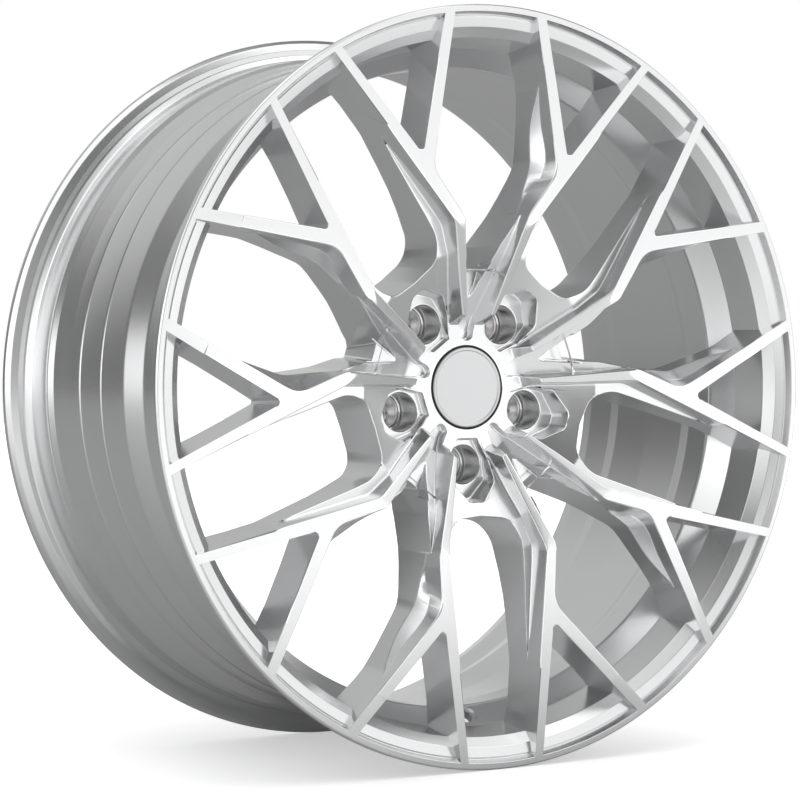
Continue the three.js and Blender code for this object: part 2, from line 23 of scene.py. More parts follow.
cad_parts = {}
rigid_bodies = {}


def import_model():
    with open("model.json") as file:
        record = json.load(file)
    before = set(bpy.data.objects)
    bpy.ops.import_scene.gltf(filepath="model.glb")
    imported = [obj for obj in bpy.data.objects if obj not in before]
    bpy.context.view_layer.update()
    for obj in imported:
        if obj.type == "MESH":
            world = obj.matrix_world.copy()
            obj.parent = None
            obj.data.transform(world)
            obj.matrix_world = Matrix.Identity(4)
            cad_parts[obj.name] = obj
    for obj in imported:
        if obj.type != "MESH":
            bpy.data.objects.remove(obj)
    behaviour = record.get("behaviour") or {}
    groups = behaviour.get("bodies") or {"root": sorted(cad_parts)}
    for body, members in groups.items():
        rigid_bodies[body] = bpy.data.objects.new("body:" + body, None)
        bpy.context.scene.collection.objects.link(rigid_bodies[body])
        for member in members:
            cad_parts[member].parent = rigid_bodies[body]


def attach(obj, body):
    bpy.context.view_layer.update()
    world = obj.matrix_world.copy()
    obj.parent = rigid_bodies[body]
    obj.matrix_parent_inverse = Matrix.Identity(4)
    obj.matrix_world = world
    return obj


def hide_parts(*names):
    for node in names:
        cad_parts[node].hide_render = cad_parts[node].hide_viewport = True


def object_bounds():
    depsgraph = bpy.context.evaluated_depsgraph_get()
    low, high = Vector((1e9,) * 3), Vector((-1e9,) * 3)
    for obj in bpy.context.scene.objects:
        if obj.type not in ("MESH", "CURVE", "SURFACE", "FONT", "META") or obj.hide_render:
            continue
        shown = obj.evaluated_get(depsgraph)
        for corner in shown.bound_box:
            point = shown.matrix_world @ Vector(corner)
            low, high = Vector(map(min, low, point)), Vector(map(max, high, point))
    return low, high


for spare in list(bpy.data.objects):
    bpy.data.objects.remove(spare)
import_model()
CAD_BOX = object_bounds()

LOG = logging.getLogger("wheel")
MM = 0.001
HALF_WIDTH = 127.5
SECTOR = math.radians(72)
HALF_SECTOR = SECTOR / 2
DRAFT = math.tan(math.radians(5))
BODY_WHEEL = "wheel"
BODY_CAP = "centre_cap"
SPOKE_PAIRS = 5
TIP_HIDDEN = 262.0  # radius past which the spoke tips lie inside the barrel
PAST_FACE = 6.0  # how far a cutter runs past the surface that it opens
PAST_MIDDLE = 12.0  # how far a cutter runs past a mirror plane
EDGE_TOUCH = 0.02  # height over the face at which a cutter has its corner
TINY = 1e-9

Flat = tuple[float, float]
Spot = tuple[float, float, float]


class Solver(Enum):
    """How one solid acts on another."""

    CUT = "DIFFERENCE"
    KEEP = "INTERSECT"


# ---- Shape helpers ----


def to_row(u: float, z: float, depth: float) -> Vector:
    """Turn a point of the flat frame, in millimetres, into the scene's metres."""
    return Vector((u * MM, (depth - HALF_WIDTH) * MM, z * MM))


def rounded(corners: Sequence[tuple[float, ...]], closed: bool = True, step: float = 6.0) -> list[Flat]:
    """Round the corners of an outline.

    Args:
        corners: Points (x, y) or (x, y, radius).
        closed: Whether the last point joins the first.
        step: Largest turn of one facet of an arc, in degrees.

    Returns:
        The outline's points, with an arc where a corner has a radius.
    """
    points: list[Flat] = []
    count = len(corners)
    for i, corner in enumerate(corners):
        here = Vector(corner[:2])
        if len(corner) < 3 or corner[2] <= 0 or (not closed and i in (0, count - 1)):
            points.append((here.x, here.y))
            continue
        back = Vector(corners[i - 1][:2]) - here
        ahead = Vector(corners[(i + 1) % count][:2]) - here
        half = back.angle(ahead) / 2
        reach = min(corner[2] / math.tan(half), back.length * 0.49, ahead.length * 0.49)
        radius = reach * math.tan(half)
        centre = here + (back.normalized() + ahead.normalized()).normalized() * math.hypot(radius, reach)
        start, end = here + back.normalized() * reach - centre, here + ahead.normalized() * reach - centre
        sweep = start.angle_signed(end)
        facets = max(2, math.ceil(abs(math.degrees(sweep)) / step))
        for k in range(facets + 1):
            arm = start.copy()
            arm.rotate(Matrix.Rotation(-sweep * k / facets, 2))
            points.append((centre.x + arm.x, centre.y + arm.y))
    return points


def inset(corners: Sequence[tuple[float, ...]], distance: float) -> list[tuple[float, ...]]:
    """Move every side of an anticlockwise outline inward.

    Args:
        corners: Points (x, y) or (x, y, radius).
        distance: How far each side moves; outward when negative.

    Returns:
        The moved corners, each with its radius.
    """
    moved = []
    for i, corner in enumerate(corners):
        here = Vector(corner[:2])
        way_in = (here - Vector(corners[i - 1][:2])).normalized()
        way_out = (Vector(corners[(i + 1) % len(corners)][:2]) - here).normalized()
        inward = Vector((-way_in.y - way_out.y, way_in.x + way_out.x)).normalized()
        reach = distance / max(0.4, inward.dot(Vector((-way_in.y, way_in.x))))
        spot = here + inward * reach
        moved.append((spot.x, spot.y, *corner[2:]))
    return moved


def turned_flat(corners: Iterable[tuple[float, ...]], angle: float) -> list[tuple[float, ...]]:
    """Turn an outline clockwise about the wheel's centre by an angle in radians."""
    c, s = math.cos(angle), math.sin(angle)
    return [(x * c + y * s, -x * s + y * c, *rest) for x, y, *rest in corners]


def along(line: Sequence[tuple[float, ...]], at: float, key: int = 1) -> tuple[float, ...]:
    """Read a line that only rises or only falls in one coordinate.

    Args:
        line: The line's points.
        at: The value of the key coordinate.
        key: Which coordinate is the key.

    Returns:
        The whole point at that value, held at the line's ends.
    """
    points = sorted(line, key=lambda p: p[key])
    if at <= points[0][key]:
        return tuple(points[0])
    for a, b in zip(points, points[1:]):
        if at <= b[key]:
            share = (at - a[key]) / max(TINY, b[key] - a[key])
            return tuple(p + (q - p) * share for p, q in zip(a, b))
    return tuple(points[-1])


def eased(line: Sequence[tuple[float, ...]], at: float) -> tuple[float, ...]:
    """Read a line by its second coordinate, on a smooth curve through its points.

    Args:
        line: The line's points.
        at: The value of the second coordinate.

    Returns:
        The whole point at that value, held at the line's ends.
    """
    points = sorted(line, key=lambda p: p[1])
    if at <= points[0][1] or at >= points[-1][1]:
        return along(points, at)
    i = next(k for k in range(len(points) - 1) if points[k + 1][1] >= at)
    a, b = points[i], points[i + 1]
    before, after = points[max(0, i - 1)], points[min(len(points) - 1, i + 2)]
    run = b[1] - a[1]
    t = (at - a[1]) / run
    found = []
    for before_c, a_c, b_c, after_c in zip(before, a, b, after):
        leave = (b_c - before_c) / max(TINY, b[1] - before[1]) * run
        arrive = (after_c - a_c) / max(TINY, after[1] - a[1]) * run
        found.append(a_c * (2 * t**3 - 3 * t**2 + 1) + leave * (t**3 - 2 * t**2 + t)
                     + b_c * (3 * t**2 - 2 * t**3) + arrive * (t**3 - t**2))
    found[1] = at
    return tuple(found)


def bearing(azimuth: float, elevation: float) -> Vector:
    """Unit vector towards a bearing in degrees, azimuth measured from -Y towards +X."""
    a, e = math.radians(azimuth), math.radians(elevation)
    return Vector((math.sin(a) * math.cos(e), -math.cos(a) * math.cos(e), math.sin(e)))


def circle(radius: float, steps: int, at: Flat = (0, 0)) -> list[Flat]:
    """Points of a circle, anticlockwise."""
    return [(at[0] + radius * math.cos(math.tau * k / steps), at[1] + radius * math.sin(math.tau * k / steps))
            for k in range(steps)]


@contextmanager
def editing(thing: bpy.types.Object) -> Iterator[bmesh.types.BMesh]:
    """Open an object's mesh for editing and write it back at the end.

    Args:
        thing: The object.

    Yields:
        Its mesh, open for editing.
    """
    bm = bmesh.new()
    bm.from_mesh(thing.data)
    yield bm
    bm.to_mesh(thing.data)
    bm.free()


def new_object(name: str, bm: bmesh.types.BMesh) -> bpy.types.Object:
    """Put a finished bmesh into a new object at the origin.

    Args:
        name: The object's name.
        bm: The mesh, which is freed.

    Returns:
        The linked object.
    """
    mesh = bpy.data.meshes.new(name)
    bm.to_mesh(mesh)
    bm.free()
    thing = bpy.data.objects.new(name, mesh)
    bpy.context.scene.collection.objects.link(thing)
    return thing


def solid_from_rings(name: str, rings: Sequence[Sequence[Vector]]) -> bpy.types.Object:
    """Join rings of equal length into one closed solid.

    Args:
        name: The object's name.
        rings: Closed rings of points; the first and last are capped.

    Returns:
        The solid, with its faces outward.
    """
    bm = bmesh.new()
    rows = [[bm.verts.new(p) for p in ring] for ring in rings]
    count = len(rows[0])
    for a, b in zip(rows, rows[1:]):
        for i in range(count):
            j = (i + 1) % count
            bm.faces.new((a[i], a[j], b[j], b[i]))
    bm.faces.new(rows[0])
    bm.faces.new(rows[-1])
    bmesh.ops.recalc_face_normals(bm, faces=bm.faces)
    return new_object(name, bm)


def open_loops(rows: Sequence[Sequence[int]]) -> list[list[int]]:
    """Faces that would close a mesh, as loops of vertex numbers.

    Args:
        rows: The vertex numbers of the mesh's faces.

    Returns:
        One loop for each opening, wound to match the faces around it.
    """
    sides = {(a, b) for row in rows for a, b in zip(row, [*row[1:], row[0]])}
    onward: dict[int, list[int]] = {}
    for a, b in sides:
        if (b, a) not in sides:
            onward.setdefault(b, []).append(a)
    loops = []
    while onward:
        start = min(onward)
        loop, spot = [], start
        while spot in onward:
            loop.append(spot)
            following = onward[spot].pop()
            if not onward[spot]:
                del onward[spot]
            spot = following
        if len(loop) > 2:
            loops.append(loop)
    return loops


def prism(corners: Sequence[tuple[float, ...]], front: float, back: float, draft: float = DRAFT,
          angle: float = 0.0, base: float = 0.0) -> bpy.types.Object:
    """A solid whose outline narrows as it goes deeper.

    Args:
        corners: Anticlockwise outline at the base depth, with corner radii.
        front: Depth of its front end.
        back: Depth of its back end.
        draft: How much each side moves in for each millimetre of depth.
        angle: Clockwise turn about the wheel's centre, in radians.
        base: Depth at which the outline is true.

    Returns:
        The solid.
    """
    rings = []
    for depth in (front, back):
        flat = turned_flat(rounded(inset(corners, draft * (depth - base))), angle)
        rings.append([to_row(x, y, depth) for x, y, *_ in flat])
    return solid_from_rings("prism", rings)


def revolved(profile: Sequence[Flat], start: float, end: float, steps: int) -> bpy.types.Object:
    """Turn a closed profile part of the way round the wheel's axis.

    Args:
        profile: Closed outline of (radius, depth).
        start: First angle, clockwise from straight up, in radians.
        end: Last angle, in radians.
        steps: Number of facets.

    Returns:
        The solid.
    """
    angles = [start + (end - start) * k / steps for k in range(steps + 1)]
    return solid_from_rings("turned", [[to_row(r * math.sin(a), r * math.cos(a), d) for r, d in profile]
                                       for a in angles])


def cylinder(radius: float, front: float, back: float, at: Flat, steps: int) -> bpy.types.Object:
    """A round bar along the wheel's axis, centred on a point of the face."""
    return solid_from_rings("bar", [[to_row(x, y, d) for x, y in circle(radius, steps, at)] for d in (front, back)])


def settle(thing: bpy.types.Object) -> None:
    """Bake an object's modifiers into its mesh and take them off.

    Args:
        thing: The object.
    """
    graph = bpy.context.evaluated_depsgraph_get()
    graph.update()
    made = bpy.data.meshes.new_from_object(thing.evaluated_get(graph), preserve_all_data_layers=True,
                                           depsgraph=graph)
    old = thing.data
    thing.modifiers.clear()
    thing.data = made
    made.name = thing.name
    if old.users == 0:
        bpy.data.meshes.remove(old)


def discard(thing: bpy.types.Object) -> None:
    """Remove a helper object and its mesh.

    Args:
        thing: The object.
    """
    mesh = thing.data
    bpy.data.objects.remove(thing)
    if mesh.users == 0:
        bpy.data.meshes.remove(mesh)


def combine(base: bpy.types.Object, tool: bpy.types.Object, how: Solver) -> None:
    """Cut one solid with another, or keep what the two share.

    Args:
        base: The solid that changes.
        tool: The solid that acts on it, which is removed.
        how: The operation.
    """
    change = base.modifiers.new("combine", "BOOLEAN")
    change.operation = how.value
    change.solver = "MANIFOLD"
    change.object = tool
    settle(base)
    discard(tool)


def socket(node: bpy.types.Node, name: str) -> bpy.types.NodeSocket:
    """The node's enabled input of that name."""
    return next(s for s in node.inputs if s.name == name and s.enabled)


class NodeLayer:
    """Adds nodes to a tree, with their inputs set or wired in the same call."""

    def __init__(self, tree: bpy.types.NodeTree) -> None:
        """Work on one tree."""
        self.tree = tree

    def __call__(self, kind: str, inputs: dict | None = None, **settings: object) -> bpy.types.Node:
        """Add a node.

        Args:
            kind: The node's type.
            inputs: Values or sockets for its inputs, by name or number.
            **settings: Properties of the node.

        Returns:
            The new node.
        """
        node = self.tree.nodes.new(kind)
        for key, value in settings.items():
            setattr(node, key, value)
        for key, value in (inputs or {}).items():
            into = node.inputs[key]
            if isinstance(value, bpy.types.NodeSocket):
                self.link(value, into)
            else:
                into.default_value = value
        return node

    def math(self, operation: str, *values: bpy.types.NodeSocket | float) -> bpy.types.NodeSocket:
        """Add a maths node on these values or sockets, and give its output."""
        return self("ShaderNodeMath", dict(enumerate(values)), operation=operation).outputs[0]

    def ramp(self, value: bpy.types.NodeSocket, taken: Flat, given: Flat,
             kind: str = "LINEAR") -> bpy.types.NodeSocket:
        """Add a node that maps one range to another, and give its output."""
        inputs = dict(enumerate((value, *taken, *given)))
        return self("ShaderNodeMapRange", inputs, interpolation_type=kind).outputs[0]

    def link(self, out: bpy.types.NodeSocket, into: bpy.types.NodeSocket) -> None:
        """Wire an output to an input."""
        self.tree.links.new(out, into)


def start_tree(name: str, takes: dict[str, str]
               ) -> tuple[bpy.types.NodeTree, NodeLayer, bpy.types.Node, dict[str, str]]:
    """Start a Geometry Nodes tree with named inputs.

    Args:
        name: The tree's name.
        takes: Names and socket types of its inputs, after the geometry.

    Returns:
        The tree, its node layer, its input node and the inputs' identifiers.
    """
    tree = bpy.data.node_groups.new(name, "GeometryNodeTree")
    tree.interface.new_socket("Geometry", in_out="INPUT", socket_type="NodeSocketGeometry")
    ids = {label: tree.interface.new_socket(label, in_out="INPUT", socket_type=kind).identifier
           for label, kind in takes.items()}
    tree.interface.new_socket("Geometry", in_out="OUTPUT", socket_type="NodeSocketGeometry")
    add = NodeLayer(tree)
    return tree, add, add("NodeGroupInput"), ids


def end_tree(add: NodeLayer, shape: bpy.types.NodeSocket, material: bpy.types.Material) -> None:
    """End a tree in Realize Instances and Set Material.

    Args:
        add: The tree's node layer.
        shape: The geometry that the tree has made.
        material: The finish of the result.
    """
    real = add("GeometryNodeRealizeInstances", {"Geometry": shape})
    coat = add("GeometryNodeSetMaterial", {"Geometry": real.outputs[0], "Material": material})
    add("NodeGroupOutput", {0: coat.outputs[0]})


def run_nodes(thing: bpy.types.Object, tree: bpy.types.NodeTree, values: dict[str, object]) -> None:
    """Run a tree on an object and keep the result as its mesh.

    Args:
        thing: The object.
        tree: The Geometry Nodes tree.
        values: Input values by socket identifier.
    """
    change = thing.modifiers.new(tree.name, "NODES")
    change.node_group = tree
    for key, value in values.items():
        change[key] = value
    settle(thing)


def repeat_tree(material: bpy.types.Material, repeats: int, weld: float,
                mirrored: bool = False) -> tuple[bpy.types.NodeTree, dict[str, object]]:
    """Build the tree that repeats a shape round the wheel's axis.

    Args:
        material: The finish of the result.
        repeats: How many times the shape stands round the axis.
        weld: Points closer than this are joined, in metres.
        mirrored: Join the shape with its mirror image first.

    Returns:
        The tree and its input values by identifier.
    """
    tree, add, source, ids = start_tree(f"Repeat {repeats} times", {"Repeats": "NodeSocketInt",
                                                                    "Weld distance": "NodeSocketFloat"})
    shape = source.outputs[0]
    if mirrored:
        flip = add("GeometryNodeTransform", {"Geometry": shape, "Scale": (-1, 1, 1)})
        turn = add("GeometryNodeFlipFaces", {"Mesh": flip.outputs[0]})
        both = add("GeometryNodeJoinGeometry")
        add.link(shape, both.inputs[0])
        add.link(turn.outputs[0], both.inputs[0])
        shape = both.outputs[0]
    line = add("GeometryNodeMeshLine", {"Count": source.outputs["Repeats"]})
    line.inputs["Offset"].default_value = (0, 0, 0)
    index = add("GeometryNodeInputIndex")
    share = add.math("DIVIDE", math.tau, source.outputs["Repeats"])
    spin = add("ShaderNodeCombineXYZ", {"Y": add.math("MULTIPLY", index.outputs[0], share)})
    spread = add("GeometryNodeInstanceOnPoints", {"Points": line.outputs[0], "Instance": shape,
                                                  "Rotation": spin.outputs[0]})
    real = add("GeometryNodeRealizeInstances", {"Geometry": spread.outputs[0]})
    join = add("GeometryNodeMergeByDistance", {"Geometry": real.outputs[0],
                                               "Distance": source.outputs["Weld distance"]})
    end_tree(add, join.outputs[0], material)
    return tree, {ids["Repeats"]: repeats, ids["Weld distance"]: weld}


def shade(thing: bpy.types.Object, sharp: float = 38.0, weight: int = 60) -> None:
    """Smooth an object's shading.

    Args:
        thing: The object.
        sharp: Edges that turn more than this, in degrees, stay sharp.
        weight: How far broad faces lead over small ones, up to 100.
    """
    with editing(thing) as bm:
        for face in bm.faces:
            face.smooth = True
        for edge in bm.edges:
            edge.smooth = len(edge.link_faces) == 2 and edge.calc_face_angle(0) < math.radians(sharp)
    even = thing.modifiers.new("shading", "WEIGHTED_NORMAL")
    even.mode, even.weight, even.keep_sharp = "FACE_AREA_WITH_ANGLE", weight, True
    settle(thing)


def mount(thing: bpy.types.Object, body: str, slot: str, *nodes: str) -> None:
    """Fix a finished piece to its body, in place of the CAD nodes it stands for.

    Args:
        thing: The piece.
        body: The body that it moves with.
        slot: Not used.
        *nodes: The nodes that it stands for.
    """
    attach(thing, body)
    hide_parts(*nodes)


# ---- The forked spokes and the hub ----


@dataclass
class ForgedCentre:
    """Hub and ten forked spokes, built from one half sector that is mirrored and turned.

    Outlines are (across, up[, corner radius]); lines in space are (across, up, depth).
    """

    land: tuple[Flat, ...] = ((280, 0), (231, 0), (119, 2), (52, 25.5), (45.6, 42.5))
    shoulder: tuple[Flat, ...] = (
        (30.3, 42.5), (54, 42.5), (62, 38.5), (83, 29.5), (100, 22), (130, 18.5), (190, 15.5), (204, 15),
        (204, 60), (285, 60))
    back: tuple[Flat, ...] = (
        (246.3, 39), (226, 36.5), (200, 37), (175, 39.5), (155, 43), (138, 48), (120, 55), (105, 62), (92, 71),
        (84, 80), (78, 89.5))
    tip_end: tuple[Flat, ...] = (
        (268.1, -5), (268.1, 1), (266.5, 4.5), (264.6, 6.8), (257.6, 8.6), (251, 14.2))
    bore: tuple[Flat, ...] = (
        (33.3, 89.5), (33.3, 67.5), (28, 65), (28, 44.7), (30.3, 44.7), (30.3, -5))
    pair_edge: tuple[tuple[float, ...], ...] = (
        (32, 282), (52.8, 154, 18), (26.8, 122, 14), (10, 52, 6), (8.2, 48.5, 4), (5.0, 41, 6), (4.9, 38.4),
        (4.2, 36), (2.8, 34.5), (0.7, 33.8), (0.5, 30))
    band_edge: tuple[Spot, ...] = (
        (42.6, 216, 10), (46.2, 190, 12.8), (48.5, 165, 10.9), (43.5, 150, 11.7), (35.7, 140, 15.7),
        (30.5, 133, 16.1))
    leaf_edge: tuple[Spot, ...] = (
        (42.3, 216, 10.5), (41.4, 190, 20), (41.4, 165, 21), (38.2, 150, 19.2), (33.6, 140, 18.7),
        (30.2, 133, 16.6))
    groove_edge: tuple[Spot, ...] = (
        (27, 124, 12), (22.9, 110, 16.4), (20.2, 98, 21.5), (14.5, 76, 34.8), (8, 52, 46.5), (6.8, 48.5, 47.7),
        (4.6, 41, 48.5), (4.5, 38.4, 48.5), (3.8, 36.1, 48.5), (2.4, 34.7, 48.5), (0.4, 34, 48.5))
    pair_back: tuple[tuple[float, ...], ...] = (
        (32.5, 282), (43.3, 213, 30), (43.3, 160, 24), (28.5, 125, 10), (16.1, 102, 10), (10.5, 84, 3), (0, 84))
    lug_edge: tuple[tuple[float, ...], ...] = (
        (26, 282), (41.3, 115, 16), (26.9, 74.4, 20), (19, 50), (10.4, 40, 3), (9, 36.5, 2.5), (0, 36.5))
    lug_back: tuple[tuple[float, ...], ...] = (
        (27.0, 282), (34.1, 200, 30), (33.5, 175, 40), (33.4, 107, 30), (22, 92, 14), (0, 88.8))
    fork: tuple[tuple[float, ...], ...] = (
        (61.2, 167, 2), (65.4, 167.4, 2), (136.4, 244.7), (168, 282), (39.5, 282))
    lug_pocket: tuple[tuple[float, ...], ...] = (
        (5.5, 82.5, 6), (18.5, 68, 7), (17.6, 52, 7), (10.4, 40, 3), (9, 36.5, 2.5), (0, 36.5))
    stem_pocket: tuple[Flat, ...] = ((0, 58), (11, 90), (-11, 90))
    bolt_circle: float = 56.0
    well_radius: float = 14.2
    well_mouth: float = 48.7
    seat_depth: float = 72.0
    seat_radius: float = 12.8
    bolt_radius: float = 7.5
    pad_depth: float = 89.5
    edge_width: float = 0.9
    crisp_turn: float = math.radians(24)
    slight_turn: float = math.radians(5)
    wall_lean: float = 0.6
    lean_change: float = 0.09
    split_reach: float = 97.0
    split_angle: float = math.radians(15.7)
    curtain_top: float = 280.0
    band_top: float = 216.0
    elbow: float = 133.0
    groove_top: float = 124.0
    groove_foot: float = 33.9
    groove_lip: float = 0.4
    tip_chamfer: Flat = (26.0, 0.42)
    elbow_chamfer: Flat = (17.0, 0.93)
    window_foot: float = 84.0
    window_depth: float = 100.0
    end_wall_top: float = 30.0
    lug_window_depth: float = 60.0
    lug_pocket_rise: float = 14.0
    fork_draft_share: float = 0.35
    stem_pocket_depth: float = 40.0
    stem_pocket_base: float = 30.0
    stem_pocket_draft: float = 0.12
    seat_overlap: float = 3.0
    seat_bore: float = 10.3
    blank_foot: float = 20.0
    blank_back: float = 110.0
    blank_across: Flat = (-14.0, 240.0)
    limit_angle: float = math.radians(6)
    floor_angle: float = math.radians(8)
    floor_back: float = 120.0
    beyond: float = 282.0

    def land_depth(self, z: float) -> float:
        """Depth of the spoke's flat face at a height in the pair's frame."""
        return along(self.land, z, key=0)[1]

    def curtain(self, stations: Iterable[float], section: Callable[[float], list[Spot]],
                name: str) -> bpy.types.Object:
        """A cutter lofted through cross-sections at rising heights.

        Args:
            stations: Heights of the sections.
            section: Gives a section's closed ring of points in the flat frame.
            name: The cutter's name.

        Returns:
            The closed solid.
        """
        rings = [[to_row(*p) for p in section(z)] for z in stations]
        return solid_from_rings(name, rings)

    def stations(self, low: float, high: float, *lines: Sequence[tuple[float, ...]], step: float = 12) -> list[float]:
        """Heights at which a curtain needs a section: every corner of its lines, and a few between.

        Args:
            low: The lowest height.
            high: The highest height.
            *lines: Lines whose corners get a section.
            step: The tallest gap that is left undivided.

        Returns:
            The heights, rising.
        """
        wanted = sorted({low, high, *(p[1] for line in lines for p in line if low < p[1] < high)})
        closest = 0.35
        kept = [wanted[0]]
        for z in wanted[1:]:
            if z - kept[-1] < closest and z != high:
                continue
            gap = z - kept[-1]
            extra = int(gap // step)
            kept += [kept[-1] + gap * (k + 1) / (extra + 1) for k in range(extra)]
            kept.append(z)
        return kept

    def mouth(self, z: float, face: float, foot: Flat) -> list[Spot]:
        """A section's first points, in line with its upper wall and just above the face.

        Args:
            z: The section's height.
            face: How far across the face's edge is.
            foot: The upper wall's lower end, (across, depth).

        Returns:
            The points in front of the face, and the corner at its edge.
        """
        land = self.land_depth(z)
        slope = (foot[0] - face) / max(0.5, foot[1] - land)
        return [(-PAST_MIDDLE, z, -PAST_FACE), (face - slope * (land + PAST_FACE), z, -PAST_FACE),
                (face - slope * EDGE_TOUCH, z, land - EDGE_TOUCH)]

    def pair_window(self) -> bpy.types.Object:
        """The window between the two spokes of a pair, with the chamfer, the leaf facet and the ledge.

        Returns:
            The cutter.
        """
        edge = rounded(self.pair_edge, closed=False, step=3)
        rear = rounded(self.pair_back, closed=False, step=5)
        deep = self.window_depth

        def wall(z: float, depth: float) -> float:
            """How far across the drafted rear wall is at a depth."""
            return along(rear, z)[0] - DRAFT * (depth + 1)

        def chamfer(z: float, face: float, depth: float, share: float) -> tuple[Flat, Flat]:
            """A single flat facet down to a depth, as its point at a share of its width and its foot."""
            land, foot = self.land_depth(z), wall(z, depth)
            return (face + (foot - face) * share, land + (depth - land) * share), (foot, depth)

        def section(z: float) -> list[Spot]:
            """The cutter's ring at a height."""
            face = along(edge, z)[0]
            if z > self.band_top:
                upper, lower = chamfer(z, face, *self.tip_chamfer)
            elif z >= self.elbow:
                band, leaf = eased(self.band_edge, z), eased(self.leaf_edge, z)
                upper, lower = (band[0], band[2]), (wall(z, leaf[2]), leaf[2])
            elif z > self.groove_top:
                upper, lower = chamfer(z, face, *self.elbow_chamfer)
            else:
                low = along(self.groove_edge, z)
                floor = low[2] - self.groove_lip
                upper, lower = (low[0], low[2]), (min(wall(z, floor), low[0] - EDGE_TOUCH), floor)
            tilt = 0.0 if z > self.window_foot + 0.01 else DRAFT * (deep - self.end_wall_top)
            return [*self.mouth(z, face, upper), (upper[0], z, upper[1]), (lower[0], z, lower[1]),
                    (wall(z, deep), z + tilt, deep), (-PAST_MIDDLE, z + tilt, deep)]

        heights = self.stations(self.window_foot, self.curtain_top, edge, rear, self.band_edge, self.leaf_edge,
                                step=5)
        return self.curtain(heights, section, "pair_window")

    def pair_groove(self) -> bpy.types.Object:
        """The groove that runs from the pair's window down between the two stems.

        Returns:
            The cutter.
        """
        edge = rounded(self.pair_edge, closed=False, step=3)

        def section(z: float) -> list[Spot]:
            """The cutter's ring at a height."""
            low = along(self.groove_edge, z)
            return [*self.mouth(z, along(edge, z)[0], (low[0], low[2])), (low[0], z, low[2]),
                    (-PAST_MIDDLE, z, low[2])]

        heights = self.stations(self.groove_foot, self.window_foot + 0.5, edge, self.groove_edge)
        return self.curtain(heights, section, "pair_groove")

    def lug_window(self) -> bpy.types.Object:
        """The upper part of the window over a lug, whose walls start at the spoke's face.

        Returns:
            The cutter.
        """
        edge = rounded(self.lug_edge, closed=False, step=3)
        deep = self.lug_window_depth
        c, s = math.cos(HALF_SECTOR), math.sin(HALF_SECTOR)

        def section(rb: float) -> list[Spot]:
            """The cutter's ring at a height along the lug's middle line."""
            face = along(edge, rb)[0]
            land = self.land_depth(rb * c + face * s)
            spots = [(PAST_MIDDLE, -PAST_FACE), (-(face + DRAFT * (land + PAST_FACE)), -PAST_FACE),
                     (-(face + DRAFT * EDGE_TOUCH), land - EDGE_TOUCH),
                     (-(face - DRAFT * (deep - land)), deep), (PAST_MIDDLE, deep)]
            return [(w * c + rb * s, -w * s + rb * c, d) for w, d in spots]

        return self.curtain(self.stations(self.lug_edge[-1][1], self.curtain_top, edge), section, "lug_window")

    def blank(self) -> bpy.types.Object:
        """The half sector's blank: flat faces in front, the turned back behind.

        Returns:
            The closed blank.
        """
        profile = [*self.land, (self.blank_foot, self.land[-1][1]), (self.blank_foot, self.blank_back),
                   (self.curtain_top, self.blank_back)]
        body = solid_from_rings("centre", [[to_row(u, z, d) for z, d in profile] for u in self.blank_across])
        outline = [*self.tip_end, *self.back, *self.bore]
        combine(body, revolved(outline, -self.limit_angle, HALF_SECTOR + self.limit_angle, 32), Solver.KEEP)
        return body

    def half_sector(self) -> bpy.types.Object:
        """Cut every window, pocket and hole of the right-hand spoke and its share of the hub.

        Returns:
            The closed half sector between a pair's middle line and a lug's.
        """
        body = self.blank()
        front = self.lug_window()
        floor = [*self.shoulder, (self.shoulder[-1][0], self.floor_back), (self.shoulder[0][0], self.floor_back)]
        combine(front, revolved(floor, -self.floor_angle, HALF_SECTOR + self.floor_angle, 40), Solver.CUT)
        lug_right = [(PAST_MIDDLE, self.lug_back[-1][1]), *[(-x, y, *r) for x, y, *r in reversed(self.lug_back[:-1])],
                     (PAST_MIDDLE, self.beyond)]
        pocket = [(x, y, *r) for x, y, *r in self.lug_pocket[:-1]]
        ring = [*[(-x, y, *r) for x, y, *r in pocket], *reversed(pocket)]
        deep = self.window_depth
        lug = (self.bolt_circle * math.sin(HALF_SECTOR), self.bolt_circle * math.cos(HALF_SECTOR))
        cutters = (
            lambda: front,
            self.pair_window,
            self.pair_groove,
            lambda: prism(list(reversed(lug_right)), -PAST_FACE, deep, angle=HALF_SECTOR, base=-1),
            lambda: prism(self.fork, -PAST_FACE, deep, draft=DRAFT * self.fork_draft_share),
            lambda: prism(ring, -PAST_FACE, self.well_mouth, angle=HALF_SECTOR,
                          base=self.well_mouth - self.lug_pocket_rise),
            lambda: prism(self.stem_pocket, -PAST_FACE, self.stem_pocket_depth, draft=self.stem_pocket_draft,
                          base=self.stem_pocket_base),
            lambda: cylinder(self.well_radius, self.well_mouth - PAST_FACE, self.seat_depth, lug, 72),
            lambda: cylinder(self.seat_radius, self.seat_depth - self.seat_overlap,
                             self.seat_depth + self.seat_bore, lug, 72),
            lambda: cylinder(self.bolt_radius, self.seat_depth, self.pad_depth + PAST_FACE, lug, 48),
        )
        for make in cutters:
            combine(body, make(), Solver.CUT)
        far = 400.0
        wedge = [(0, 0), (far * math.sin(HALF_SECTOR), far * math.cos(HALF_SECTOR)), (0, far)]
        combine(body, prism(wedge, -20, 130, draft=0), Solver.KEEP)
        return body

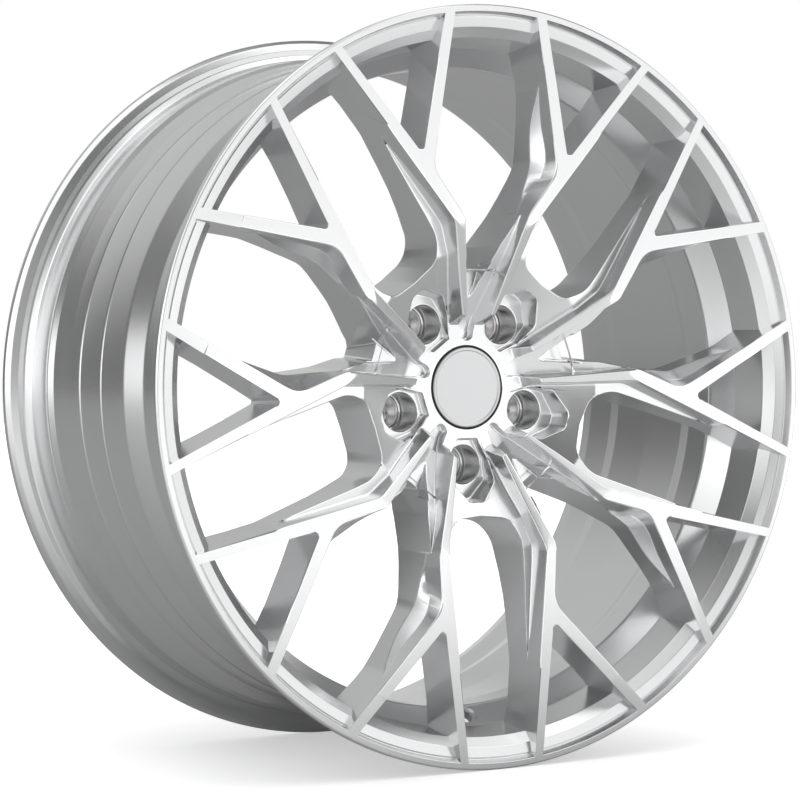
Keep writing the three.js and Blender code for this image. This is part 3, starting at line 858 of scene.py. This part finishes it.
    def clean_shell(self, body: bpy.types.Object) -> None:
        """Open the half sector on its two mirror planes and tidy its mesh.

        Args:
            body: The closed half sector.
        """
        side = Vector((math.cos(HALF_SECTOR), 0, -math.sin(HALF_SECTOR)))
        flush = 0.02 * MM
        reach = Vector((math.sin(self.split_angle), 0, math.cos(self.split_angle)))
        with editing(body) as bm:
            bmesh.ops.remove_doubles(bm, verts=bm.verts, dist=flush)
            for v in bm.verts:
                if abs(v.co.x) < flush:
                    v.co.x = 0
                elif abs(v.co.dot(side)) < flush:
                    v.co -= side * v.co.dot(side)
            caps = [f for f in bm.faces if all(v.co.x == 0 for v in f.verts)
                    or all(abs(v.co.dot(side)) < flush for v in f.verts)]
            bmesh.ops.delete(bm, geom=caps, context="FACES_KEEP_BOUNDARY")
            bmesh.ops.delete(bm, geom=[e for e in bm.edges if not e.link_faces], context="EDGES")
            bmesh.ops.delete(bm, geom=[v for v in bm.verts if not v.link_faces], context="VERTS")
            bmesh.ops.dissolve_degenerate(bm, dist=0.03 * MM, edges=bm.edges)
            bmesh.ops.dissolve_limit(bm, angle_limit=math.radians(0.4), verts=bm.verts, edges=bm.edges)
            bmesh.ops.bisect_plane(bm, geom=[*bm.verts, *bm.edges, *bm.faces], dist=0.01 * MM,
                                   plane_co=reach * self.split_reach * MM, plane_no=reach)

    def whole(self, body: bpy.types.Object, paint: "Finish") -> None:
        """Mirror the half sector and repeat it round the axis.

        Args:
            body: The open half sector, which becomes the whole centre.
            paint: The finish of the forging.
        """
        tree, values = repeat_tree(paint.material(), SPOKE_PAIRS, 0.004 * MM, mirrored=True)
        run_nodes(body, tree, values)

    def is_crisp(self, edge: bmesh.types.BMEdge) -> bool:
        """Whether an edge is a corner, or a line along a wall where its slope changes.

        Args:
            edge: An edge between two faces.

        Returns:
            True for an edge that gets rounded.
        """
        turn = edge.calc_face_angle(0)
        lean = [f.normal.y for f in edge.link_faces]
        on_wall = max(abs(n) for n in lean) < self.wall_lean
        slight = turn > self.slight_turn and abs(lean[0] - lean[1]) > self.lean_change
        return turn > self.crisp_turn or (on_wall and slight)

    def soften(self, body: bpy.types.Object) -> None:
        """Round the crisp edges and give the surface clean shading.

        Args:
            body: The whole centre.
        """
        rim = TIP_HIDDEN * MM
        with editing(body) as bm:
            # Bevel faces are marked for a painted highlight and more gloss on the rounded edges.
            edge_highlight_and_polish = bm.faces.layers.float.new("edge_share")
            crisp = [e for e in bm.edges if len(e.link_faces) == 2 and self.is_crisp(e)
                     and max(math.hypot(v.co.x, v.co.z) for v in e.verts) < rim]
            made = bmesh.ops.bevel(bm, geom=crisp, offset=self.edge_width * MM, offset_type="OFFSET", segments=2,
                                   profile=0.5, affect="EDGES", clamp_overlap=False, miter_outer="ARC")
            LOG.info("rounded %d edges into %d faces", len(crisp), len(made["faces"]))
            for f in made["faces"]:
                f[edge_highlight_and_polish] = 1.0
        shade(body, sharp=40, weight=70)

    def which_part(self, spot: Vector) -> str:
        """Name of the forged piece that a point of the centre belongs to.

        Args:
            spot: The point, in metres.

        Returns:
            The piece's name.
        """
        angle = math.atan2(spot.x, spot.z) % math.tau
        sector = int((angle + HALF_SECTOR) // SECTOR)
        local = angle - sector * SECTOR
        away = math.hypot(spot.x, spot.z) * math.cos(abs(local) - self.split_angle)
        if away < self.split_reach * MM:
            return "hub_centre"
        number = (2 * sector + 1 if local >= 0 else 2 * sector) % 10
        return f"spoke_{number or 10:02d}"

    def divide(self, body: bpy.types.Object) -> list[bpy.types.Object]:
        """Share the centre's faces out among the hub and the spokes.

        Args:
            body: The whole, shaded centre, which is removed.

        Returns:
            One object for each forged piece.
        """
        mesh = body.data
        normals = [tuple(n.vector) for n in mesh.corner_normals]
        edge_highlight_and_polish = [a.value for a in mesh.attributes["edge_share"].data]
        shares: dict[str, list[bpy.types.MeshPolygon]] = {}
        for face in mesh.polygons:
            shares.setdefault(self.which_part(face.center), []).append(face)
        made = []
        for name, faces in sorted(shares.items()):
            numbers: dict[int, int] = {}
            rows = [[numbers.setdefault(v, len(numbers)) for v in f.vertices] for f in faces]
            shading = [normals[i] for f in faces for i in f.loop_indices]
            ends = open_loops(rows)
            piece = bpy.data.meshes.new(name)
            piece.from_pydata([mesh.vertices[v].co for v in numbers], [], rows + ends)
            shading += [tuple(f.normal) for f in piece.polygons[len(rows):] for _ in f.vertices]
            edge = piece.attributes.new("edge_share", "FLOAT", "FACE")
            edge.data.foreach_set("value", [edge_highlight_and_polish[f.index] for f in faces] + [0.0] * len(ends))
            piece.shade_smooth()
            piece.normals_split_custom_set(shading)
            thing = bpy.data.objects.new(f"{name}_forging", piece)
            bpy.context.scene.collection.objects.link(thing)
            made.append(thing)
        discard(body)
        return made

    def build(self, paint: "Finish") -> list[bpy.types.Object]:
        """Make and dress the hub and the ten spokes.

        Args:
            paint: The finish of the forging.

        Returns:
            The finished pieces.
        """
        body = self.half_sector()
        self.clean_shell(body)
        self.whole(body, paint)
        self.soften(body)
        made = self.divide(body)
        for thing in made:
            mount(thing, BODY_WHEEL, "forged_silver", thing.name.removesuffix("_forging"))
            paint.dress(thing)
        return made


# ---- Rim barrel ----


@dataclass
class RimBarrel:
    """The turned barrel: a stepped front lip, the drop centre, bead seats and two flanges.

    The outlines are (radius, depth[, corner radius]), run from the front lip back along the inside
    and forward again along the tyre side.
    """

    inside: tuple[tuple[float, ...], ...] = (
        (266.6, 0.03, 0.5), (265.3, 3.0, 1.0), (264.2, 5.5, 0.5), (263.0, 5.0, 0.5), (256.2, 6.9, 1.0),
        (249.3, 13.3, 1.0), (244.8, 40, 1.6), (231.7, 56.8, 6), (231.0, 80, 10), (238.2, 97, 10),
        (240.7, 146, 30), (241.9, 188.6, 0.8), (243.2, 190.2, 1.2), (246.5, 205, 8), (248.5, 236, 8),
        (252.2, 251, 3), (256.5, 255, 2))
    tyre_side: tuple[tuple[float, ...], ...] = (
        (269.2, 255, 2.2), (271.5, 252.8, 2.2), (271.5, 248.6, 3), (268.6, 245.0, 3), (263.5, 242.8, 3),
        (259, 242, 4), (254.4, 238.4, 4), (252.6, 217.5, 3), (254.0, 212.6, 3), (251.4, 206.5, 3),
        (247.9, 188, 12), (246.5, 175.2), (245.5, 173.4), (246.2, 171.6), (244.9, 143.8), (243.9, 142),
        (244.7, 140.2), (243.4, 109, 14), (236.2, 89, 12), (236.0, 61, 8), (249.5, 46.4, 3), (253.7, 41.3, 2.2),
        (252.4, 35, 3), (254.0, 19.5, 5), (257.5, 13.2, 4), (264.8, 13, 4), (268.4, 9.2, 3), (271.5, 6.2, 3),
        (271.5, 1.1, 0.9), (270.4, 0.03, 0.7))
    facets: int = 240
    valve_radius: float = 5.65
    valve_spot_radius: float = 10.0
    valve_drill: Flat = (-8.0, 40.0)
    valve_spot: Flat = (-14.0, 1.2)

    def lathe_tree(self, material: bpy.types.Material) -> tuple[bpy.types.NodeTree, str]:
        """Build the tree that turns an outline round the axis.

        Args:
            material: The finish of the turned surface.

        Returns:
            The tree and the identifier of its facet count.
        """
        tree, add, source, ids = start_tree("Turned on the axis", {"Facets": "NodeSocketInt"})
        facets = source.outputs["Facets"]
        counted = add("GeometryNodeAttributeDomainSize", {"Geometry": source.outputs[0]}, component="MESH")
        size = counted.outputs[0]
        grid = add("GeometryNodeMeshGrid", {"Vertices X": add.math("ADD", facets, 1.0), "Vertices Y": size})
        index = add("GeometryNodeInputIndex").outputs[0]
        column = add.math("FLOOR", add.math("DIVIDE", index, size))
        row = add.math("SUBTRACT", index, add.math("MULTIPLY", column, size))
        place = add("GeometryNodeInputPosition")
        read = add("GeometryNodeSampleIndex", {"Geometry": source.outputs[0]}, data_type="FLOAT_VECTOR",
                   domain="POINT")
        add.link(place.outputs[0], socket(read, "Value"))
        add.link(row, read.inputs["Index"])
        spot = add("ShaderNodeSeparateXYZ", {0: read.outputs[0]}).outputs
        angle = add.math("MULTIPLY", column, add.math("DIVIDE", math.tau, facets))
        where = add("ShaderNodeCombineXYZ", {"X": add.math("MULTIPLY", add.math("SINE", angle), spot["X"]),
                                             "Y": spot["Y"],
                                             "Z": add.math("MULTIPLY", add.math("COSINE", angle), spot["X"])})
        moved = add("GeometryNodeSetPosition", {"Geometry": grid.outputs[0], "Position": where.outputs[0]})
        sealed = add("GeometryNodeMergeByDistance", {"Geometry": moved.outputs[0], "Distance": 0.002 * MM})
        end_tree(add, sealed.outputs[0], material)
        return tree, ids["Facets"]

    def turn(self, name: str, outline: Sequence[tuple[float, ...]], material: bpy.types.Material,
             facets: int, step: float = 9) -> bpy.types.Object:
        """Turn a closed outline into a finished solid.

        Args:
            name: The object's name.
            outline: Corners (radius, depth[, corner radius]).
            material: Its finish.
            facets: Facets of a full turn.
            step: Largest turn of one facet of a rounded corner, in degrees.

        Returns:
            The turned object.
        """
        flat = rounded(outline, step=step)
        bm = bmesh.new()
        spots = [bm.verts.new((r * MM, (d - HALF_WIDTH) * MM, 0)) for r, d in [*flat, flat[0]]]
        for a, b in zip(spots, spots[1:]):
            bm.edges.new((a, b))
        thing = new_object(name, bm)
        tree, facet_id = self.lathe_tree(material)
        run_nodes(thing, tree, {facet_id: facets})
        with editing(thing) as bm:
            bmesh.ops.remove_doubles(bm, verts=bm.verts, dist=0.003 * MM)
            bmesh.ops.recalc_face_normals(bm, faces=bm.faces)
        return thing

    def bore_valve_hole(self, thing: bpy.types.Object) -> None:
        """Drill the valve hole and its spot face square to the front slope, straight down.

        Args:
            thing: The turned barrel.
        """
        (r0, d0), (r1, d1) = self.inside[6][:2], self.inside[7][:2]
        tilt = math.atan2(d1 - d0, r0 - r1)
        middle = Vector((0, ((d0 + d1) / 2 - HALF_WIDTH) * MM, -(r0 + r1) / 2 * MM))
        out = Vector((0, math.cos(tilt), -math.sin(tilt)))
        side = Vector((1, 0, 0))
        up = out.cross(side)
        for radius, near, far in ((self.valve_radius, *self.valve_drill),
                                  (self.valve_spot_radius, *self.valve_spot)):
            rings = [[middle + out * reach * MM + (side * x + up * y) * radius * MM for x, y in circle(1, 64)]
                     for reach in (near, far)]
            combine(thing, solid_from_rings("drill", rings), Solver.CUT)

    def build(self, paint: "Finish") -> bpy.types.Object:
        """Turn, drill and dress the barrel.

        Args:
            paint: The finish of the forging.

        Returns:
            The finished barrel.
        """
        thing = self.turn("rim_barrel_turned", [*self.inside, *self.tyre_side], paint.material(), self.facets)
        self.bore_valve_hole(thing)
        shade(thing)
        mount(thing, BODY_WHEEL, "forged_silver", "rim_barrel")
        paint.dress(thing)
        return thing


# ---- Bolt seats ----


@dataclass
class BoltSeats:
    """Five turned steel seats at the bottoms of the bolt wells."""

    outline: tuple[tuple[float, ...], ...] = (
        (12.5, 72, 0.4), (11.6, 71.95, 0.3), (11.0, 72.4, 0.3), (7.5, 78.5, 0.4), (7.5, 82, 0.3), (12.5, 82, 0.5))
    bolt_circle: float = 56.0
    facets: int = 72

    def build(self, steel: "Finish", lathe: RimBarrel) -> bpy.types.Object:
        """Turn one seat and repeat it round the hub.

        Args:
            steel: The seats' finish.
            lathe: Turns the outline.

        Returns:
            The five seats, one mesh.
        """
        thing = lathe.turn("bolt_seats_turned", list(reversed(self.outline)), steel.material(), self.facets)
        thing.data.transform(Matrix.Translation((0, 0, self.bolt_circle * MM)))
        thing.data.transform(Matrix.Rotation(HALF_SECTOR, 4, "Y"))
        tree, values = repeat_tree(steel.material(), SPOKE_PAIRS, 0.0)
        run_nodes(thing, tree, values)
        shade(thing)
        mount(thing, BODY_WHEEL, "machined_steel", *[f"lug_seat_{k + 1}" for k in range(SPOKE_PAIRS)])
        steel.dress(thing)
        return thing


# ---- Centre cap ----


@dataclass
class CentreCap:
    """Snap-in cap: a plain satin disc in a black housing with sprung clip legs."""

    disc: tuple[tuple[float, ...], ...] = (
        (28.9, 42.9, 0.25), (28.9, 42.25, 0.3), (28.2, 41.84, 0.4), (27.0, 41.82, 0.3), (26.4, 42.2, 0.5),
        (12, 42.1), (0.0, 42.08), (0.0, 42.95))
    housing: tuple[tuple[float, ...], ...] = (
        (0.0, 43.3), (29.2, 43.3, 0.2), (29.2, 42.2, 0.25), (30.0, 42.35, 0.3), (30.0, 44.4, 0.3), (27.9, 44.4, 0.3),
        (27.9, 46.9, 0.3), (24.6, 46.9, 0.4), (24.6, 45.0, 0.5), (0.0, 44.9))
    leg: tuple[tuple[float, ...], ...] = (
        (26.9, 46.4, 0.2), (26.9, 54.4, 0.4), (27.7, 55.9, 0.5), (26.5, 58.4, 0.4), (25.1, 58.4, 0.4),
        (25.1, 46.4, 0.2))
    legs: int = 8
    slot_width: float = 5.0
    slot_radius: float = 26.5
    wire_radius: float = 0.8
    ring_radius: float = 24.0
    ring_depth: float = 54.4
    facets: int = 128

    def clip_legs(self, plastic: "Finish") -> bpy.types.Object:
        """Sweep one leg's section through its share of the ring and repeat it.

        Args:
            plastic: The legs' finish.

        Returns:
            The legs, one mesh.
        """
        flat = rounded(list(reversed(self.leg)), step=15)
        share = math.tau / self.legs - self.slot_width / self.slot_radius
        thing = revolved(flat, -share / 2, share / 2, 8)
        tree, values = repeat_tree(plastic.material(), self.legs, 0.0)
        run_nodes(thing, tree, values)
        return thing

    def build(self, satin: "Finish", plastic: "Finish", spring: "Finish",
              lathe: RimBarrel) -> list[bpy.types.Object]:
        """Make and dress the disc, the housing with its legs, and the wire ring.

        Args:
            satin: Finish of the disc.
            plastic: Finish of the housing.
            spring: Finish of the wire.
            lathe: Turns the outlines.

        Returns:
            The cap's three pieces.
        """
        disc = lathe.turn("cap_disc_turned", list(reversed(self.disc)), satin.material(), self.facets)
        shell = lathe.turn("cap_housing_moulded", list(reversed(self.housing)), plastic.material(), self.facets)
        legs = self.clip_legs(plastic)
        with editing(shell) as bm:
            bm.from_mesh(legs.data)
        discard(legs)
        section = circle(self.wire_radius, 16, (self.ring_radius, self.ring_depth))
        wire = lathe.turn("cap_spring_wire", section, spring.material(), 96)
        for thing, finish, slot, node in ((disc, satin, "cap_silver", "cap_disc"),
                                          (shell, plastic, "cap_black", "cap_housing"),
                                          (wire, spring, "spring_steel", "cap_spring_ring")):
            shade(thing)
            mount(thing, BODY_CAP, slot, node)
            finish.dress(thing)
        return [disc, shell, wire]


# ---- Finishes ----


def shader_group(name: str, takes: dict[str, float],
                 gives: dict[str, str]) -> tuple[bpy.types.NodeTree, NodeLayer]:
    """Start a shader group with float inputs.

    Args:
        name: The group's name.
        takes: Input names and their defaults.
        gives: Output names and their socket types.

    Returns:
        The tree and its node layer.
    """
    tree = bpy.data.node_groups.new(name, "ShaderNodeTree")
    for label, value in takes.items():
        made = tree.interface.new_socket(label, in_out="INPUT", socket_type="NodeSocketFloat")
        made.default_value = value
    for label, kind in gives.items():
        tree.interface.new_socket(label, in_out="OUTPUT", socket_type=kind)
    return tree, NodeLayer(tree)


@cache
def metal_flake() -> bpy.types.NodeTree:
    """Group, built once: fine flake under the lacquer, a speckled tone and a tiny unevenness.

    Returns:
        The shader group.
    """
    tree, add = shader_group("Metal flake", {"Scale": 2500.0, "Contrast": 0.05, "Cloud": 0.04},
                             {"Tone": "NodeSocketFloat", "Height": "NodeSocketFloat"})
    source = add("NodeGroupInput").outputs
    place = add("ShaderNodeTexCoord").outputs["Object"]
    fine = add("ShaderNodeTexNoise", {"Vector": place, "Scale": source["Scale"], "Detail": 2.0, "Roughness": 0.6})
    wide = add("ShaderNodeTexNoise", {"Vector": place, "Scale": 9.0, "Detail": 3.0})
    speck, drift = (add.math("MULTIPLY", add.math("SUBTRACT", noise.outputs[0], 0.5), source[name])
                    for noise, name in ((fine, "Contrast"), (wide, "Cloud")))
    add("NodeGroupOutput", {"Tone": add.math("ADD", speck, drift), "Height": fine.outputs[0]})
    return tree


@cache
def tool_lines() -> bpy.types.NodeTree:
    """Group, built once: fine tool lines that run round the axis, by radius and by depth.

    Returns:
        The shader group.
    """
    tree, add = shader_group("Tool lines", {"Spacing": 0.0006, "Wander": 0.3}, {"Height": "NodeSocketFloat"})
    source = add("NodeGroupInput").outputs
    spot = add("ShaderNodeSeparateXYZ", {0: add("ShaderNodeTexCoord").outputs["Object"]}).outputs
    flat = add("ShaderNodeCombineXYZ", {"X": spot["X"], "Y": spot["Z"]})
    reach = add("ShaderNodeVectorMath", {0: flat.outputs[0]}, operation="LENGTH")
    turns = add.math("DIVIDE", add.math("ADD", reach.outputs["Value"], spot["Y"]), source["Spacing"])
    noise = add("ShaderNodeTexNoise", {"W": turns, "Scale": 0.37, "Detail": 3.0}, noise_dimensions="1D")
    calm = add.math("MULTIPLY", add.math("SINE", add.math("MULTIPLY", turns, math.tau)), 0.25)
    rough = add.math("MULTIPLY", noise.outputs[0], source["Wander"])
    add("NodeGroupOutput", {"Height": add.math("ADD", calm, rough)})
    return tree


@cache
def edge_gleam() -> bpy.types.NodeTree:
    """Group, built once: a mask along rounded edges, broken up by noise, for a painted highlight and more gloss
    there.

    Returns:
        The shader group.
    """
    tree, add = shader_group("Edge gleam", {"Strength": 0.5}, {"Mask": "NodeSocketFloat"})
    source = add("NodeGroupInput").outputs
    share = add("ShaderNodeAttribute", attribute_name="edge_share").outputs["Fac"]
    place = add("ShaderNodeTexCoord").outputs["Object"]
    noise = add("ShaderNodeTexNoise", {"Vector": place, "Scale": 60.0, "Detail": 2.0})
    uneven = add.ramp(noise.outputs[0], (0.3, 0.7), (0.7, 1.0))
    add("NodeGroupOutput", {"Mask": add.math("MULTIPLY", add.math("MULTIPLY", share, uneven), source["Strength"])})
    return tree


@dataclass(frozen=True)
class Finish:
    """A surface finish: its colour, gloss, flake, tool lines, and a painted highlight on its edges."""

    name: str
    colour: tuple[float, float, float]
    metallic: float = 1.0
    roughness: float = 0.3
    coat: float = 0.0
    coat_roughness: float = 0.1
    flake_scale: float = 2500.0
    flake_contrast: float = 0.05
    cloud: float = 0.03
    flake_height: float = 0.000004
    line_spacing: float = 0.0
    line_height: float = 0.000004
    # Strength of the painted highlight and the added gloss on rounded edges.
    gleam: float = 0.0

    def material(self) -> bpy.types.Material:
        """The finish's material, built the first time it is asked for."""
        return bpy.data.materials.get(self.name) or self._build()

    def _build(self) -> bpy.types.Material:
        """Lay out the material's nodes.

        Returns:
            The new material.
        """
        made = bpy.data.materials.new(self.name)
        made.use_nodes = True
        made.diffuse_color = (*self.colour, 1)
        tree = made.node_tree
        tree.nodes.clear()
        add = NodeLayer(tree)
        flake = add("ShaderNodeGroup", {"Scale": self.flake_scale, "Contrast": self.flake_contrast,
                                        "Cloud": self.cloud}, node_tree=metal_flake()).outputs
        gleam = add("ShaderNodeGroup", {"Strength": self.gleam}, node_tree=edge_gleam()).outputs["Mask"]
        # Painted highlight: the base colour is up to a quarter brighter on rounded edges; the flake tone is the
        # paint's own speckle.
        tone = add.math("ADD", add.math("ADD", flake["Tone"], 1.0), add.math("MULTIPLY", gleam, 0.25))
        shade_of = add("ShaderNodeVectorMath", {0: self.colour, "Scale": tone}, operation="SCALE")
        edge_highlight_and_polish = add.ramp(gleam, (0.0, 1.0), (self.roughness, self.roughness * 0.5))
        gloss = add.math("ADD", edge_highlight_and_polish, add.math("MULTIPLY", flake["Tone"], 0.6))
        normal = add("ShaderNodeBump", {"Height": flake["Height"], "Distance": self.flake_height}).outputs[0]
        if self.line_spacing:
            lines = add("ShaderNodeGroup", {"Spacing": self.line_spacing}, node_tree=tool_lines())
            normal = add("ShaderNodeBump", {"Height": lines.outputs["Height"], "Distance": self.line_height,
                                            "Normal": normal}).outputs[0]
        body = add("ShaderNodeBsdfPrincipled", {"Base Color": shade_of.outputs[0], "Metallic": self.metallic,
                                                "Roughness": gloss, "Coat Weight": self.coat,
                                                "Coat Roughness": self.coat_roughness, "Normal": normal})
        add("ShaderNodeOutputMaterial", {"Surface": body.outputs[0]})
        return made

    def dress(self, thing: bpy.types.Object) -> None:
        """Give an object this finish and no other.

        Args:
            thing: The object.
        """
        thing.data.materials.clear()
        thing.data.materials.append(self.material())
        for face in thing.data.polygons:
            face.material_index = 0


SILVER_PAINT = Finish("forged_silver_paint", (0.80, 0.805, 0.81), metallic=0.93, roughness=0.22, coat=0.35,
                      coat_roughness=0.12, gleam=1.0)
TURNED_STEEL = Finish("turned_steel", (0.78, 0.775, 0.77), roughness=0.2, flake_contrast=0.03, line_spacing=0.0004,
                      line_height=0.000012)
CAP_SATIN = Finish("cap_satin_silver", (0.72, 0.725, 0.73), metallic=0.85, roughness=0.36, coat=0.15,
                   coat_roughness=0.3, gleam=0.3)
BLACK_PLASTIC = Finish("cap_black_plastic", (0.018, 0.018, 0.019), metallic=0.0, roughness=0.45, flake_scale=900,
                       flake_contrast=0.2, cloud=0.2, flake_height=0.00002)
SPRING_WIRE = Finish("spring_wire", (0.5, 0.5, 0.51), roughness=0.32, flake_contrast=0.1)


# ---- Studio ----


@dataclass
class SoftLight:
    """A rectangular soft box aimed at the wheel."""

    name: str
    azimuth: float
    elevation: float
    distance: float
    size: tuple[float, float]
    power: float

    def place(self) -> None:
        """Put the light on its bearing, turned to the origin."""
        lamp = bpy.data.lights.new(self.name, "AREA")
        lamp.shape, lamp.size, lamp.size_y, lamp.energy = "RECTANGLE", *self.size, self.power
        thing = bpy.data.objects.new(self.name, lamp)
        way = bearing(self.azimuth, self.elevation)
        thing.location = way * self.distance
        thing.rotation_mode = "QUATERNION"
        thing.rotation_quaternion = (-way).to_track_quat("-Z", "Y")
        bpy.context.scene.collection.objects.link(thing)


@dataclass
class SoftPatch:
    """A broad soft patch of light on the far surroundings, in degrees."""

    azimuth: float
    elevation: float
    inner: float
    outer: float
    strength: float


@dataclass
class Studio:
    """White sweep, soft boxes and the camera."""

    ambient: float = 0.15
    backdrop: float = 1.0
    azimuth: float = -31.549
    elevation: float = 0.691
    distance: float = 2.0389
    roll: float = -0.456
    target: tuple[float, float, float] = (-0.02472, -0.03248, -0.00914)
    lens: float = 124.887
    # The floor's painted shadow: how far it reaches, and the floor's glow inside and outside it.
    shade_reach: tuple[float, float, float] = (0.42, 0.6, 1.0)
    shade_glow: Flat = (0.42, 0.8)
    floor_half: float = 12.0
    floor_tone: Flat = (0.45, 0.9)
    floor_fall: tuple[float, float, float] = (0.5, 0.85, 0)
    floor_glow: Flat = (0.62, 0.02)
    patches: tuple[SoftPatch, ...] = (
        SoftPatch(-74, 5, 12, 40, 1.5),
        SoftPatch(-109, 5, 5, 15, 1.1),
        SoftPatch(-80, 58, 12, 34, 1.1),
        SoftPatch(60, 50, 10, 30, 0.9),
        SoftPatch(180, 34, 8, 40, 0.42),
        SoftPatch(-30, 5, 5, 32, 0.25),
        SoftPatch(100, 10, 8, 30, 1.2),
        SoftPatch(150, 0, 5, 26, 0.5),
    )
    lights: tuple[SoftLight, ...] = (
        SoftLight("front_right_box", 38, 12, 2.6, (2.4, 2.6), 18.5),
        SoftLight("top_box", 10, 75, 2.4, (2.0, 2.0), 9),
    )

    def world(self) -> None:
        """Grey light from all round that grows in broad soft patches, and a white backdrop."""
        made = bpy.data.worlds.new("studio")
        made.use_nodes = True
        made.node_tree.nodes.clear()
        add = NodeLayer(made.node_tree)
        way = add("ShaderNodeTexCoord")
        total: bpy.types.NodeSocket | float = self.ambient
        for patch in self.patches:
            near = add("ShaderNodeVectorMath", {0: way.outputs["Generated"],
                                                1: bearing(patch.azimuth, patch.elevation)}, operation="DOT_PRODUCT")
            edge, full = (math.cos(math.radians(angle)) for angle in (patch.outer, patch.inner))
            soft = add.ramp(near.outputs["Value"], (edge, full), (0.0, patch.strength), "SMOOTHSTEP")
            total = add.math("ADD", soft, total)
        path = add("ShaderNodeLightPath")
        level = add("ShaderNodeMix", {"Factor": path.outputs["Is Camera Ray"], "A": total, "B": self.backdrop})
        light = add("ShaderNodeBackground", {"Color": (1, 1, 1, 1), "Strength": level.outputs[0]})
        add("ShaderNodeOutputWorld", {"Surface": light.outputs[0]})
        bpy.context.scene.world = made

    def floor(self, height: float) -> None:
        """A pale floor under the wheel, whose own glow fades towards the wheel: a painted shadow.

        Seen directly it is whiter than it is to the light that it throws back at the wheel.

        Args:
            height: Where it lies, in metres.
        """
        bm = bmesh.new()
        bmesh.ops.create_grid(bm, x_segments=8, y_segments=8, size=self.floor_half)
        bmesh.ops.translate(bm, verts=bm.verts, vec=(0, 0, height))
        thing = new_object("studio_floor", bm)
        made = bpy.data.materials.new("studio_floor")
        made.use_nodes = True
        made.node_tree.nodes.clear()
        add = NodeLayer(made.node_tree)
        place = add("ShaderNodeTexCoord")
        shrunk = add("ShaderNodeVectorMath", {0: place.outputs["Object"], 1: self.shade_reach}, operation="DIVIDE")
        flat = add("ShaderNodeVectorMath", {0: shrunk.outputs[0], 1: (1, 1, 0)}, operation="MULTIPLY")
        away = add("ShaderNodeVectorMath", {0: flat.outputs[0]}, operation="LENGTH")
        # Painted shadow: the glow seen directly drops from 0.8 to 0.42 near the wheel.
        glow = add.ramp(away.outputs["Value"], (0.2, 1.0), self.shade_glow, "SMOOTHSTEP")
        seen = add("ShaderNodeLightPath").outputs["Is Camera Ray"]
        spot = add("ShaderNodeVectorMath", {0: place.outputs["Object"], 1: self.floor_fall}, operation="DOT_PRODUCT")
        ahead = add.ramp(spot.outputs["Value"], (-0.9, -0.1), self.floor_glow)
        shine = add("ShaderNodeMix", {"Factor": seen, "A": ahead, "B": glow})
        tone = add.ramp(seen, (0, 1), self.floor_tone)
        body = add("ShaderNodeBsdfPrincipled", {"Base Color": tone, "Roughness": 0.6,
                                                "Emission Color": (1, 1, 1, 1),
                                                "Emission Strength": shine.outputs[0]})
        add("ShaderNodeOutputMaterial", {"Surface": body.outputs[0]})
        thing.data.materials.append(made)

    def camera(self) -> None:
        """Aim the camera with its small roll."""
        data = bpy.data.cameras.new("camera")
        data.sensor_width, data.lens = 36.0, self.lens
        data.clip_start, data.clip_end = 0.05, 60
        thing = bpy.data.objects.new("camera", data)
        bpy.context.scene.collection.objects.link(thing)
        roll = math.radians(self.roll)
        back = bearing(self.azimuth, self.elevation)
        side = Vector((0, 0, 1)).cross(back).normalized()
        up = back.cross(side)
        right = side * math.cos(roll) + up * math.sin(roll)
        top = up * math.cos(roll) - side * math.sin(roll)
        turn = Matrix((right, top, back)).transposed().to_4x4()
        thing.matrix_world = Matrix.Translation(Vector(self.target) + back * self.distance) @ turn
        bpy.context.scene.camera = thing

    def build(self) -> None:
        """Set up the world, the floor, the lights and the camera."""
        view = bpy.context.scene.view_settings
        view.view_transform, view.look, view.exposure, view.gamma = "Standard", "None", 0.0, 1.0
        self.world()
        self.floor(CAD_BOX[0].z)
        for light in self.lights:
            light.place()
        self.camera()


def main() -> None:
    """Build the wheel, dress it and set it in the studio."""
    logging.basicConfig(level=logging.INFO, format="%(name)s: %(message)s")
    barrel = RimBarrel()
    pieces = [barrel.build(SILVER_PAINT)]
    pieces += ForgedCentre().build(SILVER_PAINT)
    pieces.append(BoltSeats().build(TURNED_STEEL, barrel))
    pieces += CentreCap().build(CAP_SATIN, BLACK_PLASTIC, SPRING_WIRE, barrel)
    for thing in pieces:
        LOG.info("%s: %d faces", thing.name, len(thing.data.polygons))
    Studio().build()


if __name__ == "__main__":
    main()
